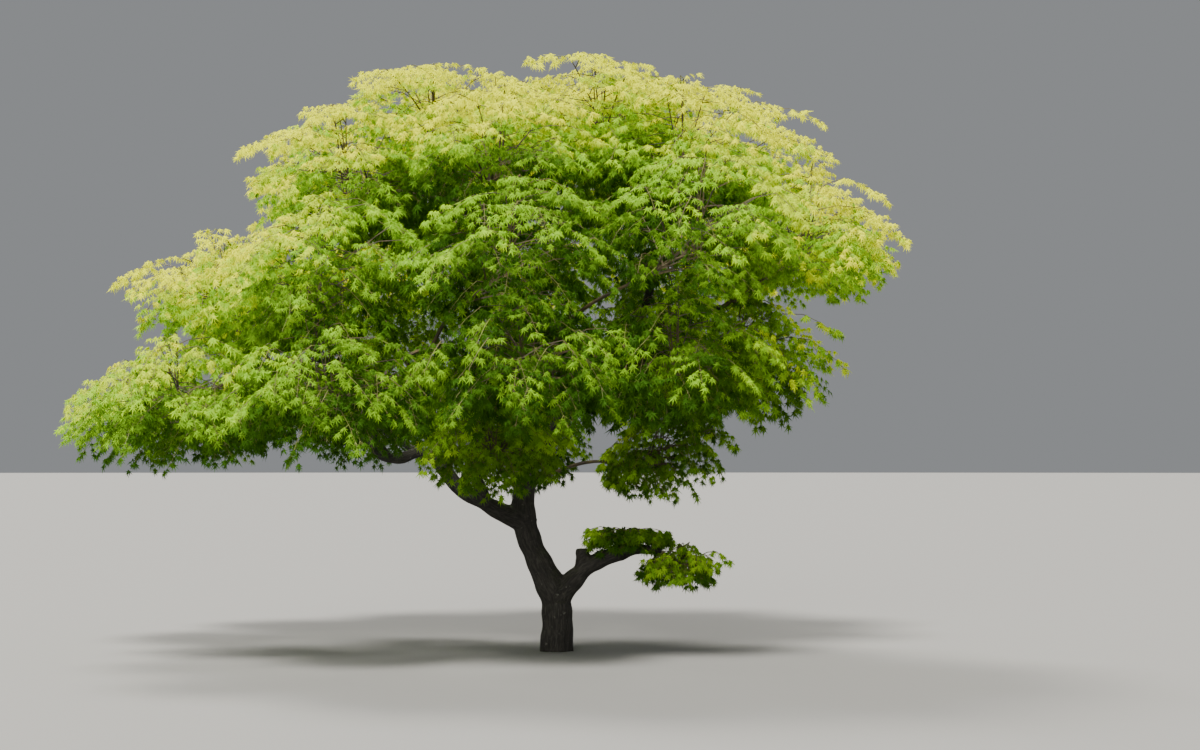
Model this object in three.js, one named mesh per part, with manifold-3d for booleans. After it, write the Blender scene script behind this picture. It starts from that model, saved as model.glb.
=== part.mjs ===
// A Japanese maple in fresh spring leaf: a low-forking trunk, sinuous boughs, and a wide domed crown of layered foliage.
// Millimetres, +Z up, origin at the middle of the flat cut under the trunk. The crown's broad side faces -Y and its
// lower end reaches to -X.
import * as THREE from "three";
import { mergeVertices } from "three/addons/utils/BufferGeometryUtils.js";
import Module from "manifold-3d";

const wasm = await Module();
wasm.setup();

// Driving dimensions of the tree
const TRUNK_DIAMETER = 296;
const CROWN_LEFT = 4710; // reach of the leaves to -X, near the crown's lower edge
const CROWN_RIGHT = 3350; // reach of the leaves to +X, at its shoulder
const CROWN_HALF_DEPTH = 3600;
const CROWN_TOP = 5530;
const SKIRT_HEIGHT = 2520;

const JOINT_GAP = 0.3; // clear space between a limb and what it grows from
const FLATNESS = 1.5; // a foliage mass is this much wider than it is tall
const SPACE_MARGIN = 6; // clear space between the spaces of two masses
const LIMB_MARGIN = 25; // clear space between a leaf and a limb it must not touch
const COLLAR_MARGIN = 14; // clear space between two limbs where their collars end
const SMOOTHING = [3, 2, 1, 0.5, 0]; // slivers left by fusing leaves are closed up, by the largest size that is safe
const SEED = 3;
const GOLDEN_TURN = Math.PI * (3 - Math.sqrt(5));

const UP = new THREE.Vector3(0, 0, 1);
const vec = (x, y, z) => new THREE.Vector3(x, y, z);
const radians = THREE.MathUtils.degToRad;
const mix = THREE.MathUtils.lerp;
const headingVector = (degrees) => vec(Math.cos(radians(degrees)), Math.sin(radians(degrees)), 0);

// A repeatable number from 0 to 1 for a seed.
function chance(seed) {
  const wave = Math.sin(seed * 12.9898 + 78.233) * 43758.5453;
  return wave - Math.floor(wave);
}

// Solids

function solidOf(geometry) {
  const bare = new THREE.BufferGeometry();
  bare.setAttribute("position", geometry.getAttribute("position"));
  if (geometry.index) bare.setIndex(geometry.index);
  const merged = mergeVertices(bare, 1e-3);
  return new wasm.Manifold(
    new wasm.Mesh({
      numProp: 3,
      vertProperties: new Float32Array(merged.attributes.position.array),
      triVerts: new Uint32Array(merged.index.array),
    }),
  );
}

function geometryOf(solid) {
  const mesh = solid.getMesh();
  const geometry = new THREE.BufferGeometry();
  geometry.setAttribute("position", new THREE.BufferAttribute(new Float32Array(mesh.vertProperties), 3));
  geometry.setIndex(new THREE.BufferAttribute(new Uint32Array(mesh.triVerts), 1));
  geometry.computeVertexNormals();
  return geometry;
}

// True where each edge still joins just two faces once the mesh is made and its corners are rounded.
function sewsUp(solid) {
  const { vertProperties, triVerts } = solidOf(geometryOf(solid)).getMesh();
  const corner = (v) => [0, 1, 2].map((i) => Math.round(vertProperties[3 * v + i] * 1e4)).join();
  const seen = new Set();
  for (let i = 0; i < triVerts.length; i += 3) {
    const [a, b, c] = [0, 1, 2].map((k) => corner(triVerts[i + k]));
    if (a === b || b === c || c === a) continue;
    for (const edge of [`${a}/${b}`, `${b}/${c}`, `${c}/${a}`]) {
      if (seen.has(edge)) return false;
      seen.add(edge);
    }
  }
  return true;
}

// The largest connected body of a solid, with its slivers closed up and any loose scrap dropped.
function tidied(solid) {
  const body = solid.decompose().reduce((a, b) => (a.volume() > b.volume() ? a : b)).asOriginal();
  const choices = SMOOTHING.map((size) => (size > 0 ? body.simplify(size) : body));
  return choices.find((choice) => choice.decompose().length === 1 && sewsUp(choice)) ?? body;
}

// Limbs: tapering tubes along smooth lines

class Limb {
  constructor({ name, points, rootRadius, tipRadius, sides, segments, relief }) {
    this.name = name;
    this.line = new THREE.CatmullRomCurve3(points, false, "catmullrom", 0.5);
    this.rootRadius = rootRadius;
    this.tipRadius = tipRadius;
    this.sides = sides;
    this.segments = segments;
    this.relief = relief ?? (() => 1);
    this.children = [];
    this.from = 0;
  }

  at(t) {
    return this.line.getPoint(t);
  }

  direction(t) {
    return this.line.getTangent(t);
  }

  radius(t) {
    return mix(this.rootRadius, this.tipRadius, Math.pow(t, 0.85));
  }

  // Rings at even steps, and one where the limb leaves its parent's collar.
  ringPlaces() {
    const places = Array.from({ length: this.segments + 1 }, (_, i) => i / this.segments);
    const spare = 0.45 / this.segments;
    return [...places.filter((t) => t === 0 || Math.abs(t - this.from) > spare), this.from]
      .filter((t, i, all) => all.indexOf(t) === i)
      .sort((a, b) => a - b);
  }

  // Each ring's centre and axes, carried along the line without twist.
  frames() {
    if (this.keptFrames && this.keptFor === this.from) return this.keptFrames;
    let side = null;
    this.keptFor = this.from;
    this.keptFrames = this.ringPlaces().map((t) => {
      const along = this.direction(t);
      side = side ? side.clone() : Math.abs(along.z) > 0.9 ? vec(1, 0, 0) : UP.clone().cross(along);
      side.addScaledVector(along, -side.dot(along)).normalize();
      return { t, centre: this.at(t), along, side, across: along.clone().cross(side) };
    });
    return this.keptFrames;
  }

  // The middle of the tube itself, which runs straight from ring to ring.
  core(t) {
    const rings = this.frames();
    const after = Math.max(1, rings.findIndex((ring) => ring.t >= t));
    const [a, b] = [rings[after - 1], rings[after]];
    return a.centre.clone().lerp(b.centre, (t - a.t) / (b.t - a.t));
  }

  // A closed tube between two rings, its first ring moved on by startGap.
  tube(first, last, startGap = 0) {
    const rings = this.frames().filter(({ t }) => t >= first - 1e-9 && t <= last + 1e-9);
    const positions = [];
    rings.forEach(({ t, centre, along, side, across }, i) => {
      const middle = centre.clone().addScaledVector(along, i === 0 ? startGap : 0);
      for (let k = 0; k < this.sides; k++) {
        const angle = (k / this.sides) * 2 * Math.PI;
        const r = this.radius(t) * this.relief(middle.z, angle);
        const point = middle
          .clone()
          .addScaledVector(side, r * Math.cos(angle))
          .addScaledVector(across, r * Math.sin(angle));
        positions.push(point.x, point.y, point.z);
      }
    });
    const index = [];
    const corner = (ring, k) => ring * this.sides + (k % this.sides);
    for (let ring = 0; ring + 1 < rings.length; ring++)
      for (let k = 0; k < this.sides; k++) {
        index.push(corner(ring, k), corner(ring, k + 1), corner(ring + 1, k + 1));
        index.push(corner(ring, k), corner(ring + 1, k + 1), corner(ring + 1, k));
      }
    for (let k = 1; k + 1 < this.sides; k++) {
      index.push(corner(0, 0), corner(0, k + 1), corner(0, k));
      const end = rings.length - 1;
      index.push(corner(end, 0), corner(end, k), corner(end, k + 1));
    }
    const geometry = new THREE.BufferGeometry();
    geometry.setAttribute("position", new THREE.Float32BufferAttribute(positions, 3));
    geometry.setIndex(index);
    return geometry;
  }

  // The limb's own length, past its parent's collar, with the collars of what grows on it, cut flat at the ground.
  solid() {
    let made = solidOf(this.tube(this.from, 1, this.from > 0 ? JOINT_GAP : 0));
    for (const child of this.children) made = made.add(solidOf(child.tube(0, child.from)));
    return made.trimByPlane([0, 0, 1], 0).asOriginal().simplify(JOINT_GAP / 3);
  }

  samples(count = 40) {
    this.keptSamples ??= Array.from({ length: count + 1 }, (_, i) => {
      const t = i / count;
      return { t, point: this.at(t), radius: this.radius(t) };
    });
    return this.keptSamples;
  }
}

// The furthest place along a child, in its near part, that still lies too close to another limb.
function lastTouch(child, other, skipOtherBefore = 0) {
  const span = new THREE.Line3();
  const nearest = vec();
  let last = 0;
  const near = other.samples().filter(({ t }) => t >= skipOtherBefore - 1e-9);
  for (let t = 0; t <= 0.75; t += 0.01) {
    const point = child.at(t);
    const reach = child.radius(t) + COLLAR_MARGIN;
    for (let i = 0; i + 1 < near.length; i++) {
      span.set(near[i].point, near[i + 1].point).closestPointToPoint(point, true, nearest);
      if (nearest.distanceTo(point) < reach + near[i].radius) last = t;
    }
  }
  return last;
}

// Sets where each child of a limb leaves its collar, clear of the limb and of its other children.
function settleCollars(limb) {
  for (const child of limb.children) {
    let from = lastTouch(child, limb);
    for (const other of limb.children) if (other !== child) from = Math.max(from, lastTouch(child, other));
    child.from = Math.min(from + 0.02, 0.8);
    child.keptFrames = null;
  }
}

// A limb that grows on a parent: it leaves towards lift, bends over, wanders from side to side and arrives level.
function grownLimb({ parent, on, tip, wander = 0.05, arrive = 0.15, seed = 1, ...rest }) {
  const start = parent.at(on);
  const reach = start.distanceTo(tip);
  const towards = tip.clone().sub(start).normalize();
  const leave = towards.clone().addScaledVector(parent.direction(on), 0.55).addScaledVector(UP, 0.15).normalize();
  const outward = vec(towards.x, towards.y, 0).normalize().addScaledVector(UP, arrive).normalize();
  const bow = new THREE.CubicBezierCurve3(
    start,
    start.clone().addScaledVector(leave, reach * 0.36),
    tip.clone().addScaledVector(outward, -reach * 0.3),
    tip,
  );
  const side = towards.clone().cross(UP).normalize();
  const turn = chance(seed) * 2 * Math.PI;
  const points = [0, 0.2, 0.4, 0.6, 0.8, 1].map((t) => {
    const sway = reach * wander * Math.sin(Math.PI * t);
    return bow
      .getPoint(t)
      .addScaledVector(side, sway * Math.sin(7 * t + turn))
      .addScaledVector(UP, 0.6 * sway * Math.cos(8 * t + turn));
  });
  const limb = new Limb({ points, ...rest });
  parent.children.push(limb);
  return limb;
}

// A limb whose line is set by a few points of its own after the place where it leaves its parent.
function shapedLimb({ parent, on, points, ...rest }) {
  const limb = new Limb({ points: [parent.at(on), ...points], ...rest });
  parent.children.push(limb);
  return limb;
}

// The trunk and the main boughs

const trunkLine = [
  vec(-4, 0, -120),
  vec(12, 0, 240),
  vec(-8, 10, 520),
  vec(-140, 20, 800),
  vec(-258, 20, 1075),
  vec(-312, 0, 1360),
  vec(-300, 10, 1640),
];

// Root flare in five lobes that dies out at knee height, and a swelling under the low fork.
function trunkRelief(height, angle) {
  const flare = Math.exp(-Math.max(height, 0) / 130);
  const lobes = 0.1 * Math.cos(5 * angle + 0.6) + 0.05 * Math.cos(3 * angle + 2);
  const swelling = 0.14 * Math.exp(-(((height - 540) / 160) ** 2));
  const slimming = 0.03 * THREE.MathUtils.smoothstep(height, 620, 820);
  return 1 + flare * (0.14 + lobes) + swelling - slimming + 0.02 * Math.cos(3 * angle + height / 160);
}

const trunk = new Limb({
  name: "trunk",
  points: trunkLine,
  rootRadius: TRUNK_DIAMETER / 2,
  tipRadius: 110,
  sides: 12,
  segments: 10,
  relief: trunkRelief,
});

const lowRightLimb = shapedLimb({
  name: "low_right_limb",
  parent: trunk,
  on: 0.31,
  points: [vec(165, -15, 675), vec(300, -35, 800), vec(450, -45, 880), vec(620, -60, 945)],
  rootRadius: 96,
  tipRadius: 70,
  sides: 9,
  segments: 6,
});

const lowRightArm = shapedLimb({
  name: "low_right_arm",
  parent: lowRightLimb,
  on: 1,
  points: [vec(760, -80, 975), vec(900, -110, 968), vec(1010, -130, 950)],
  rootRadius: 62,
  tipRadius: 36,
  sides: 7,
  segments: 3,
});

const leftBough = shapedLimb({
  name: "left_bough",
  parent: trunk,
  on: 0.76,
  points: [
    vec(-520, -40, 1330),
    vec(-690, -90, 1420),
    vec(-900, -150, 1540),
    vec(-1110, -230, 1790),
    vec(-1280, -270, 1900),
    vec(-1480, -300, 1840),
    vec(-1660, -310, 1880),
    vec(-1830, -290, 2060),
  ],
  rootRadius: 88,
  tipRadius: 42,
  sides: 7,
  segments: 12,
});

const rightLeader = shapedLimb({
  name: "right_leader",
  parent: trunk,
  on: 1,
  points: [vec(-225, 20, 1830), vec(-60, 20, 2080), vec(130, 10, 2340), vec(400, 20, 2690), vec(740, 40, 3080),
    vec(900, 50, 3450), vec(945, 40, 3900), vec(900, 0, 4330)],
  rootRadius: 96,
  tipRadius: 28,
  sides: 7,
  segments: 10,
});

const leftLeader = grownLimb({
  name: "left_leader",
  parent: trunk,
  on: 0.97,
  tip: vec(-1080, 60, 4150),
  arrive: 0.8,
  wander: 0.06,
  seed: 3,
  rootRadius: 66,
  tipRadius: 28,
  sides: 6,
  segments: 8,
});

const frontBough = grownLimb({
  name: "front_bough",
  parent: leftBough,
  on: 0.24,
  tip: vec(-700, -1000, 2330),
  arrive: 0.35,
  wander: 0.05,
  seed: 5,
  rootRadius: 60,
  tipRadius: 38,
  sides: 6,
  segments: 6,
});

const rightBough = grownLimb({
  name: "right_bough",
  parent: rightLeader,
  on: 0.34,
  tip: vec(960, -90, 2640),
  arrive: 0.1,
  wander: 0.05,
  seed: 8,
  rootRadius: 62,
  tipRadius: 40,
  sides: 6,
  segments: 6,
});

const backBough = grownLimb({
  name: "back_bough",
  parent: trunk,
  on: 0.88,
  tip: vec(-420, 1050, 2420),
  arrive: 0.35,
  wander: 0.05,
  seed: 13,
  rootRadius: 66,
  tipRadius: 38,
  sides: 6,
  segments: 6,
});

const highRightBough = grownLimb({
  name: "high_right_bough",
  parent: rightLeader,
  on: 0.6,
  tip: vec(1600, -20, 3300),
  arrive: 0.25,
  wander: 0.04,
  seed: 21,
  rootRadius: 44,
  tipRadius: 28,
  sides: 6,
  segments: 5,
});

// Where the masses of foliage sit: rings round a crown axis that leans to the right as it rises

const RINGS = {
  skirt: { count: 10, turn: 0, middleX: -1100, reachX: CROWN_LEFT - 1810, reachY: CROWN_HALF_DEPTH - 640,
    height: SKIRT_HEIGHT, lift: 200, stagger: 190, radius: 1000 },
  shoulder: { count: 10, turn: 18, middleX: -300, reachX: CROWN_RIGHT - 410, reachY: CROWN_HALF_DEPTH - 810,
    height: SKIRT_HEIGHT + 1130, lift: 200, stagger: 170, radius: 1030 },
  upper: { count: 7, turn: 8, middleX: -260, reachX: 2090, reachY: 1920, height: CROWN_TOP - 1030, lift: 60,
    stagger: 110, radius: 990 },
  top: { count: 4, turn: 35, middleX: -250, reachX: 1120, reachY: 1050, height: CROWN_TOP - 430, lift: 10,
    stagger: 20, radius: 990 },
};

function ringMass(ring, k) {
  const { count, turn, middleX, reachX, reachY, height, lift, stagger, radius } = RINGS[ring];
  const heading = turn + (360 / count) * k;
  const out = headingVector(heading);
  const seed = count * 31 + k * 7 + SEED;
  const inset = 1 - 0.06 * chance(seed);
  return {
    name: `${ring}_foliage_${k + 1}`,
    heading,
    seed,
    radius: radius * (0.96 + 0.08 * chance(seed + 1)),
    centre: vec(
      middleX + reachX * inset * out.x,
      reachY * inset * out.y,
      height + lift * out.x + stagger * (chance(seed + 2) - 0.5),
    ),
  };
}

const masses = [];

// A mass takes its stem from a limb, at its tip unless told, and keeps to a flattened round space about its centre.
function addMass(mass, limb, stemRadius = 20, on = 1) {
  const heart = mass.centre.clone().addScaledVector(UP, (-0.22 * mass.radius) / FLATNESS);
  const stem = grownLimb({
    name: mass.name,
    parent: limb,
    on,
    tip: heart,
    arrive: 0.1,
    wander: 0.04,
    seed: mass.seed,
    rootRadius: stemRadius,
    tipRadius: 10,
    sides: 4,
    segments: 4,
  });
  masses.push({ ...mass, limb, stem, heart });
}

const limbs = [
  trunk,
  lowRightLimb,
  lowRightArm,
  leftBough,
  frontBough,
  backBough,
  rightBough,
  highRightBough,
  leftLeader,
  rightLeader,
];

// One outer limb to each heading forks into a skirt mass and, but for two on the right, the shoulder mass above it.
const OUTER_PARENTS = [
  [rightBough, 1],
  [rightBough, 0.5],
  [backBough, 1],
  [backBough, 0.84],
  [leftBough, 0.64],
  [leftBough, 1],
  [leftBough, 0.82],
  [frontBough, 1],
  [frontBough, 0.8],
  [rightBough, 0.78],
];
const HIGH_RIGHT_SHOULDERS = [0, 9];
OUTER_PARENTS.forEach(([parent, on], k) => {
  const below = ringMass("skirt", k);
  const above = ringMass("shoulder", k);
  const forks = !HIGH_RIGHT_SHOULDERS.includes(k);
  const between = below.centre.clone().lerp(above.centre, forks ? 0.42 : 0.1);
  const tip = between.clone().lerp(vec(-600, 0, between.z), 0.3).addScaledVector(UP, -60);
  const limb = grownLimb({
    name: `outer_limb_${k + 1}`,
    parent,
    on,
    tip,
    arrive: 0.1,
    wander: 0.05,
    seed: 40 + k,
    rootRadius: 34,
    tipRadius: 24,
    sides: 5,
    segments: 5,
  });
  limbs.push(limb);
  addMass(below, limb);
  addMass(above, forks ? limb : highRightBough);
});

// Upper limbs carry the ring under the top, and the leaders' tips carry the top.
const UPPER_PARENTS = [
  [rightLeader, 0.84, [0, 6]],
  [rightLeader, 0.9, [1, 2]],
  [leftLeader, 0.8, [3]],
  [leftLeader, 0.87, [4, 5]],
];
UPPER_PARENTS.forEach(([parent, on, wanted], k) => {
  const held = wanted.map((i) => ringMass("upper", i));
  const middle = held.reduce((sum, { centre }) => sum.add(centre), vec(0, 0, 0)).divideScalar(held.length);
  const tip = middle.lerp(vec(-200, 0, 4250), held.length > 1 ? 0.34 : 0.5);
  tip.z -= 160;
  const limb = grownLimb({
    name: `upper_limb_${k + 1}`,
    parent,
    on,
    tip,
    arrive: 0.2,
    wander: 0.05,
    seed: 60 + k,
    rootRadius: 26,
    tipRadius: 20,
    sides: 5,
    segments: 4,
  });
  limbs.push(limb);
  held.forEach((mass) => addMass(mass, limb, 17));
});
addMass(ringMass("top", 0), rightLeader, 20);
addMass(ringMass("top", 1), leftLeader, 20);
addMass(ringMass("top", 2), leftLeader, 20);
addMass(ringMass("top", 3), rightLeader, 20);

// Foliage under the dome, held by the trunk's own fork, and on the low right limb.
const INNER = [
  { heading: 258, reach: 1200, height: 2010, radius: 780, on: 0.93 },
  { heading: 342, reach: 1450, height: 1900, radius: 720, on: 0.95 },
  { heading: 95, reach: 1500, height: 2040, radius: 820, on: 0.9 },
];
INNER.forEach(({ heading, reach, height, radius, on }, k) => {
  const centre = headingVector(heading).multiplyScalar(reach).add(vec(-330, 0, height));
  addMass({ name: `inner_foliage_${k + 1}`, heading, seed: 900 + k, radius, centre }, trunk, 26, on);
});
addMass({ name: "low_limb_foliage_1", heading: 80, seed: 950, radius: 470, centre: vec(700, 40, 1120) },
  lowRightLimb, 20);
addMass({ name: "low_limb_foliage_2", heading: -10, seed: 951, radius: 480, centre: vec(1200, -150, 860) },
  lowRightArm, 20);

limbs.forEach(settleCollars);

// Spaces: flattened balls parted by flat walls, so that each space is convex and no two share a point

const flatten = (point) => vec(point.x, point.y, point.z * FLATNESS);
masses.forEach((mass) => {
  mass.flatCentre = flatten(mass.centre);
});
masses.forEach((mass) => {
  mass.walls = masses
    .filter((other) => other !== mass)
    .map((other) => {
      const across = other.flatCentre.clone().sub(mass.flatCentre);
      const distance = across.length();
      const share = (distance ** 2 + mass.radius ** 2 - other.radius ** 2) / (2 * distance);
      return { normal: across.normalize(), share, distance };
    })
    .filter(({ share }) => share < mass.radius + SPACE_MARGIN);
});

function inSpace(mass, point) {
  const from = flatten(point).sub(mass.flatCentre);
  if (from.length() > mass.radius) return false;
  return mass.walls.every(({ normal, share }) => from.dot(normal) < share - SPACE_MARGIN * FLATNESS);
}

// Every limb and stem as short straight pieces, each with a box for quick tests.
const obstacles = [...limbs, ...masses.map(({ stem }) => stem)].flatMap((limb) =>
  limb.samples().slice(1).map((sample, i) => {
    const before = limb.samples()[i];
    return { owner: limb, span: new THREE.Line3(before.point, sample.point), radius: before.radius };
  }),
);

function clearOfLimbs(mass, points, ownStem) {
  const nearest = vec();
  const near = mass.obstacles ??= obstacles.filter(({ owner, span, radius }) =>
    owner !== mass.stem && span.closestPointToPoint(mass.centre, true, nearest).distanceTo(mass.centre) <
      mass.radius + radius + 200);
  return points.every((point) => near.every(({ span, radius }) =>
    span.closestPointToPoint(point, true, nearest).distanceTo(point) > radius + LIMB_MARGIN + ownStem));
}

// Sprigs: a three-sided stalk that ends in one leaf, a three-lobed blade that arches over and droops at the tips

const LEAF_RIM = [
  { x: 0.36, y: -0.62, fall: 0.15 },
  { x: 0.56, y: -0.28, fall: 0.07 },
  { x: 1, y: 0, fall: 0.2 },
  { x: 0.56, y: 0.28, fall: 0.07 },
  { x: 0.36, y: 0.62, fall: 0.15 },
];
const LEAF_MIDDLE = 0.35;
const LEAF_THICKNESS = 0.05;

// A leaf at a foot, heading out at an angle seen from above and tilted down, in its own axes.
function leafAt(foot, turn, size, tilt) {
  const out = vec(Math.cos(turn), Math.sin(turn), 0);
  const forward = out.clone().multiplyScalar(Math.cos(tilt)).addScaledVector(UP, -Math.sin(tilt));
  const normal = out.clone().multiplyScalar(Math.sin(tilt)).addScaledVector(UP, Math.cos(tilt));
  const sideways = normal.clone().cross(forward);
  const place = (x, y, z) =>
    foot.clone().addScaledVector(forward, x).addScaledVector(sideways, y).addScaledVector(normal, z);
  const rim = LEAF_RIM.map(({ x, y, fall }) => place(x * size, y * size, -fall * size));
  const half = (LEAF_THICKNESS * size) / 2;
  const above = place(LEAF_MIDDLE * size, 0, half);
  const below = place(LEAF_MIDDLE * size, 0, -half);
  return { foot, normal, size, rim, above, below, place };
}

function closedSolid(faces) {
  const corners = [...new Set(faces.flat())];
  const geometry = new THREE.BufferGeometry();
  geometry.setAttribute("position", new THREE.Float32BufferAttribute(corners.flatMap((p) => [p.x, p.y, p.z]), 3));
  geometry.setIndex(faces.flat().map((corner) => corners.indexOf(corner)));
  return solidOf(geometry);
}

function bladeFaces(leaf, rim) {
  return rim.slice(1).flatMap((corner, i) => [[leaf.above, rim[i], corner], [leaf.below, corner, rim[i]]]);
}

function sprigSolid(root, leaf, rootRadius, tipRadius) {
  const along = leaf.foot.clone().sub(root).normalize();
  const side = leaf.normal.clone().cross(along).normalize();
  const over = along.clone().cross(side);
  const section = [[-0.87, 0.5], [0, -1], [0.87, 0.5]];
  const start = section.map(([x, y]) =>
    root.clone().addScaledVector(side, x * rootRadius).addScaledVector(over, y * rootRadius));
  const end = section.map(([x, y]) => leaf.place(0, x * tipRadius, y * tipRadius));
  const stalk = start.flatMap((corner, k) => {
    const next = (k + 1) % 3;
    return [[corner, start[next], end[next]], [corner, end[next], end[k]]];
  });
  return closedSolid([
    [start[0], start[2], start[1]],
    ...stalk,
    ...bladeFaces(leaf, [end[0], ...leaf.rim, end[2]]),
    [leaf.above, end[2], end[0]],
    [leaf.below, end[0], end[1]],
    [leaf.below, end[1], end[2]],
  ]);
}

// The rule of growth: twigs leave the stem at a golden turn, spread from the foot of the mass to its top, and each
// ends in one leaf with a pair beside it

const TWIGS = 4;
const LEAF_SIZE = 0.72; // of the mass's radius
const SIDE_LEAF = 0.86; // of the end leaf's size
const SIZE_STEPS = [1, 0.86, 0.73];
const PULL_STEPS = [1.35, 1.2, 1, 0.8, 0.6, 0.4]; // a leaf sits as far from its root as it can before it is made smaller
const SWING_STEPS = [0, 0.35, -0.35]; // and turns aside a little first

function fits(mass, leaf, path) {
  const { rim, above } = leaf;
  const blade = [...rim, ...rim.map((point) => point.clone().lerp(above, 0.5)), above];
  return [...rim, ...path].every((point) => inSpace(mass, point)) && clearOfLimbs(mass, [...blade, ...path], 0);
}

// The first sprig, from the wanted size and stalk down, that keeps to the space and meets what is made of the mass
// nowhere but at its root, or nothing.
function fittedSprig({ mass, made, root, foot, turn, size, tilt, stalk }) {
  for (const step of SIZE_STEPS)
    for (const pull of PULL_STEPS)
      for (const swing of SWING_STEPS) {
        const end = root.clone().lerp(foot, pull);
        const path = [0.4, 0.6, 0.8, 1].map((t) => root.clone().lerp(end, t));
        const leaf = leafAt(end, turn + swing, size * step, tilt);
        if (!fits(mass, leaf, path)) continue;
        const solid = sprigSolid(root, leaf, stalk, stalk * 0.7);
        if (solid.intersect(made).decompose().length !== 1) continue;
        const joined = made.add(solid);
        if (sewsUp(joined)) return { leaf, joined };
      }
  return null;
}

// The place along a mass's stem past which the whole stem is inside the space.
function entryPlace(mass) {
  let place = 1;
  while (place > mass.stem.from + 0.04 && inSpace(mass, mass.stem.at(place - 0.02))) place -= 0.02;
  return place;
}

function massSolid(mass) {
  let made = solidOf(mass.stem.tube(mass.stem.from, 1, JOINT_GAP));
  const { radius, centre, stem, seed, heading } = mass;
  const entry = Math.max(entryPlace(mass), 0.5);
  mass.leaves = 0;
  for (let k = 0; k < TWIGS; k++) {
    const share = (k + 0.5) / TWIGS;
    const turn = k * GOLDEN_TURN + radians(heading) + 0.9 * chance(seed + 5);
    const height = mix(-0.4, 0.94, share);
    const level = Math.sqrt(1 - height * height);
    const reach = radius * mix(0.4, 0.5, chance(seed + 11 * k));
    const out = vec(Math.cos(turn) * level * reach, Math.sin(turn) * level * reach, 0);
    const foot = centre.clone().add(out).addScaledVector(UP, (0.84 * height * radius) / FLATNESS);
    const root = stem.core(mix(entry, 0.98, share));
    const tilt = mix(0.95, 0.12, share);
    const size = LEAF_SIZE * radius;
    const twig = fittedSprig({ mass, made, root, foot, turn, size, tilt, stalk: 12 });
    if (!twig) continue;
    made = twig.joined;
    mass.leaves += 1;
    for (const side of k === 0 ? [1] : [-1, 1]) {
      const fork = root.clone().lerp(twig.leaf.foot, 0.55);
      const sideTurn = turn + side * 1.15;
      const sideways = vec(Math.cos(sideTurn), Math.sin(sideTurn), 0.1).multiplyScalar(0.2 * radius);
      const sprig = fittedSprig({ mass, made, root: fork, foot: fork.clone().add(sideways), turn: sideTurn,
        size: size * SIDE_LEAF, tilt, stalk: 8 });
      if (!sprig) continue;
      made = sprig.joined;
      mass.leaves += 1;
    }
  }
  return tidied(made);
}

// The tree

const bark = new THREE.MeshStandardMaterial({ color: 0x2e2820, roughness: 0.9, metalness: 0 });
const leafColours = {
  top: 0xd8dc3c,
  upper: 0xc8d23a,
  shoulder: 0x9dbb2e,
  skirt: 0x7ea52a,
  inner: 0x4f8420,
  low: 0x5a8a22,
};
const foliage = Object.fromEntries(
  Object.entries(leafColours).map(([part, color]) => [
    part,
    new THREE.MeshStandardMaterial({ color, roughness: 0.6, metalness: 0 }),
  ]),
);

const tree = new THREE.Group();
function addNode(name, solid, material) {
  const mesh = new THREE.Mesh(geometryOf(solid), material);
  mesh.name = name;
  tree.add(mesh);
}
limbs.forEach((limb) => addNode(limb.name, limb.solid(), bark));
masses.forEach((mass) => addNode(mass.name, massSolid(mass), foliage[mass.name.split("_")[0]]));

export default tree;
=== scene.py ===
import math

import bmesh
import bpy
import numpy as np
from bpy.props import FloatProperty, FloatVectorProperty, IntProperty, PointerProperty
from mathutils import Matrix, Vector, kdtree, noise


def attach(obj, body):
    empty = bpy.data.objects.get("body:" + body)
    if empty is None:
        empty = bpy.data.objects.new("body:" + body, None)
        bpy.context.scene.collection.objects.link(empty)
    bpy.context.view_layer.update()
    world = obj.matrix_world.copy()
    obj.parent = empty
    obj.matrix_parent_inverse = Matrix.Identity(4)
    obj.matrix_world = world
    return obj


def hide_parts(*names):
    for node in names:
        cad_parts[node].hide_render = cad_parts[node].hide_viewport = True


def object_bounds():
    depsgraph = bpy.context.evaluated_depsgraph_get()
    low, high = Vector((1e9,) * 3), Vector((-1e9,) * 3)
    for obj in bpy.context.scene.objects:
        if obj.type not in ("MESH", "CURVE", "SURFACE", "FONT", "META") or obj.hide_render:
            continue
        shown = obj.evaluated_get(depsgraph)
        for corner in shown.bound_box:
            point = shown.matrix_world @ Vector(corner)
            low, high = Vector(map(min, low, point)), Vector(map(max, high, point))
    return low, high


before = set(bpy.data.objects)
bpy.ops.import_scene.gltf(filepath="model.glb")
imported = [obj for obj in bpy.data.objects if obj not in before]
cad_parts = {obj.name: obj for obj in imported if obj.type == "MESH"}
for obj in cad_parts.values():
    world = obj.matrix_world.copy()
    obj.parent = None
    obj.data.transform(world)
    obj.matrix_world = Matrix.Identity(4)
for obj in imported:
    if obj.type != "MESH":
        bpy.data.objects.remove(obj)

bl_info = {
    "name": "Japanese Maple",
    "version": (1, 0, 0),
    "blender": (4, 5, 0),
    "location": "3D View > Sidebar > Maple",
    "description": "Builds a Japanese maple in spring leaf round its packed frame",
    "category": "Add Mesh",
}

MM = 0.001
CAD_BOX = [list(corner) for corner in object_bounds()]

# Driving dimensions of the tree in millimetres, the same as the frame's
TRUNK_DIAMETER = 296
CROWN_LEFT = 4710
CROWN_RIGHT = 3350
CROWN_HALF_DEPTH = 3600
CROWN_TOP = 5530
SKIRT_HEIGHT = 2520
# How far the crown hangs below the middle of its skirt
CROWN_DROP = 700
# How much wider than high a mass is, and the gap between the solids of two masses
FLATNESS = 1.5
SPACE_MARGIN = 6
# How far fans reach past their mass's space: how much its radius is stretched, also on top of the crown, and
# the share of it by which they mingle with a neighbour's
OVERREACH = 1.04
TOP_OVERREACH = 1.1
MINGLING = 0.24
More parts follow.
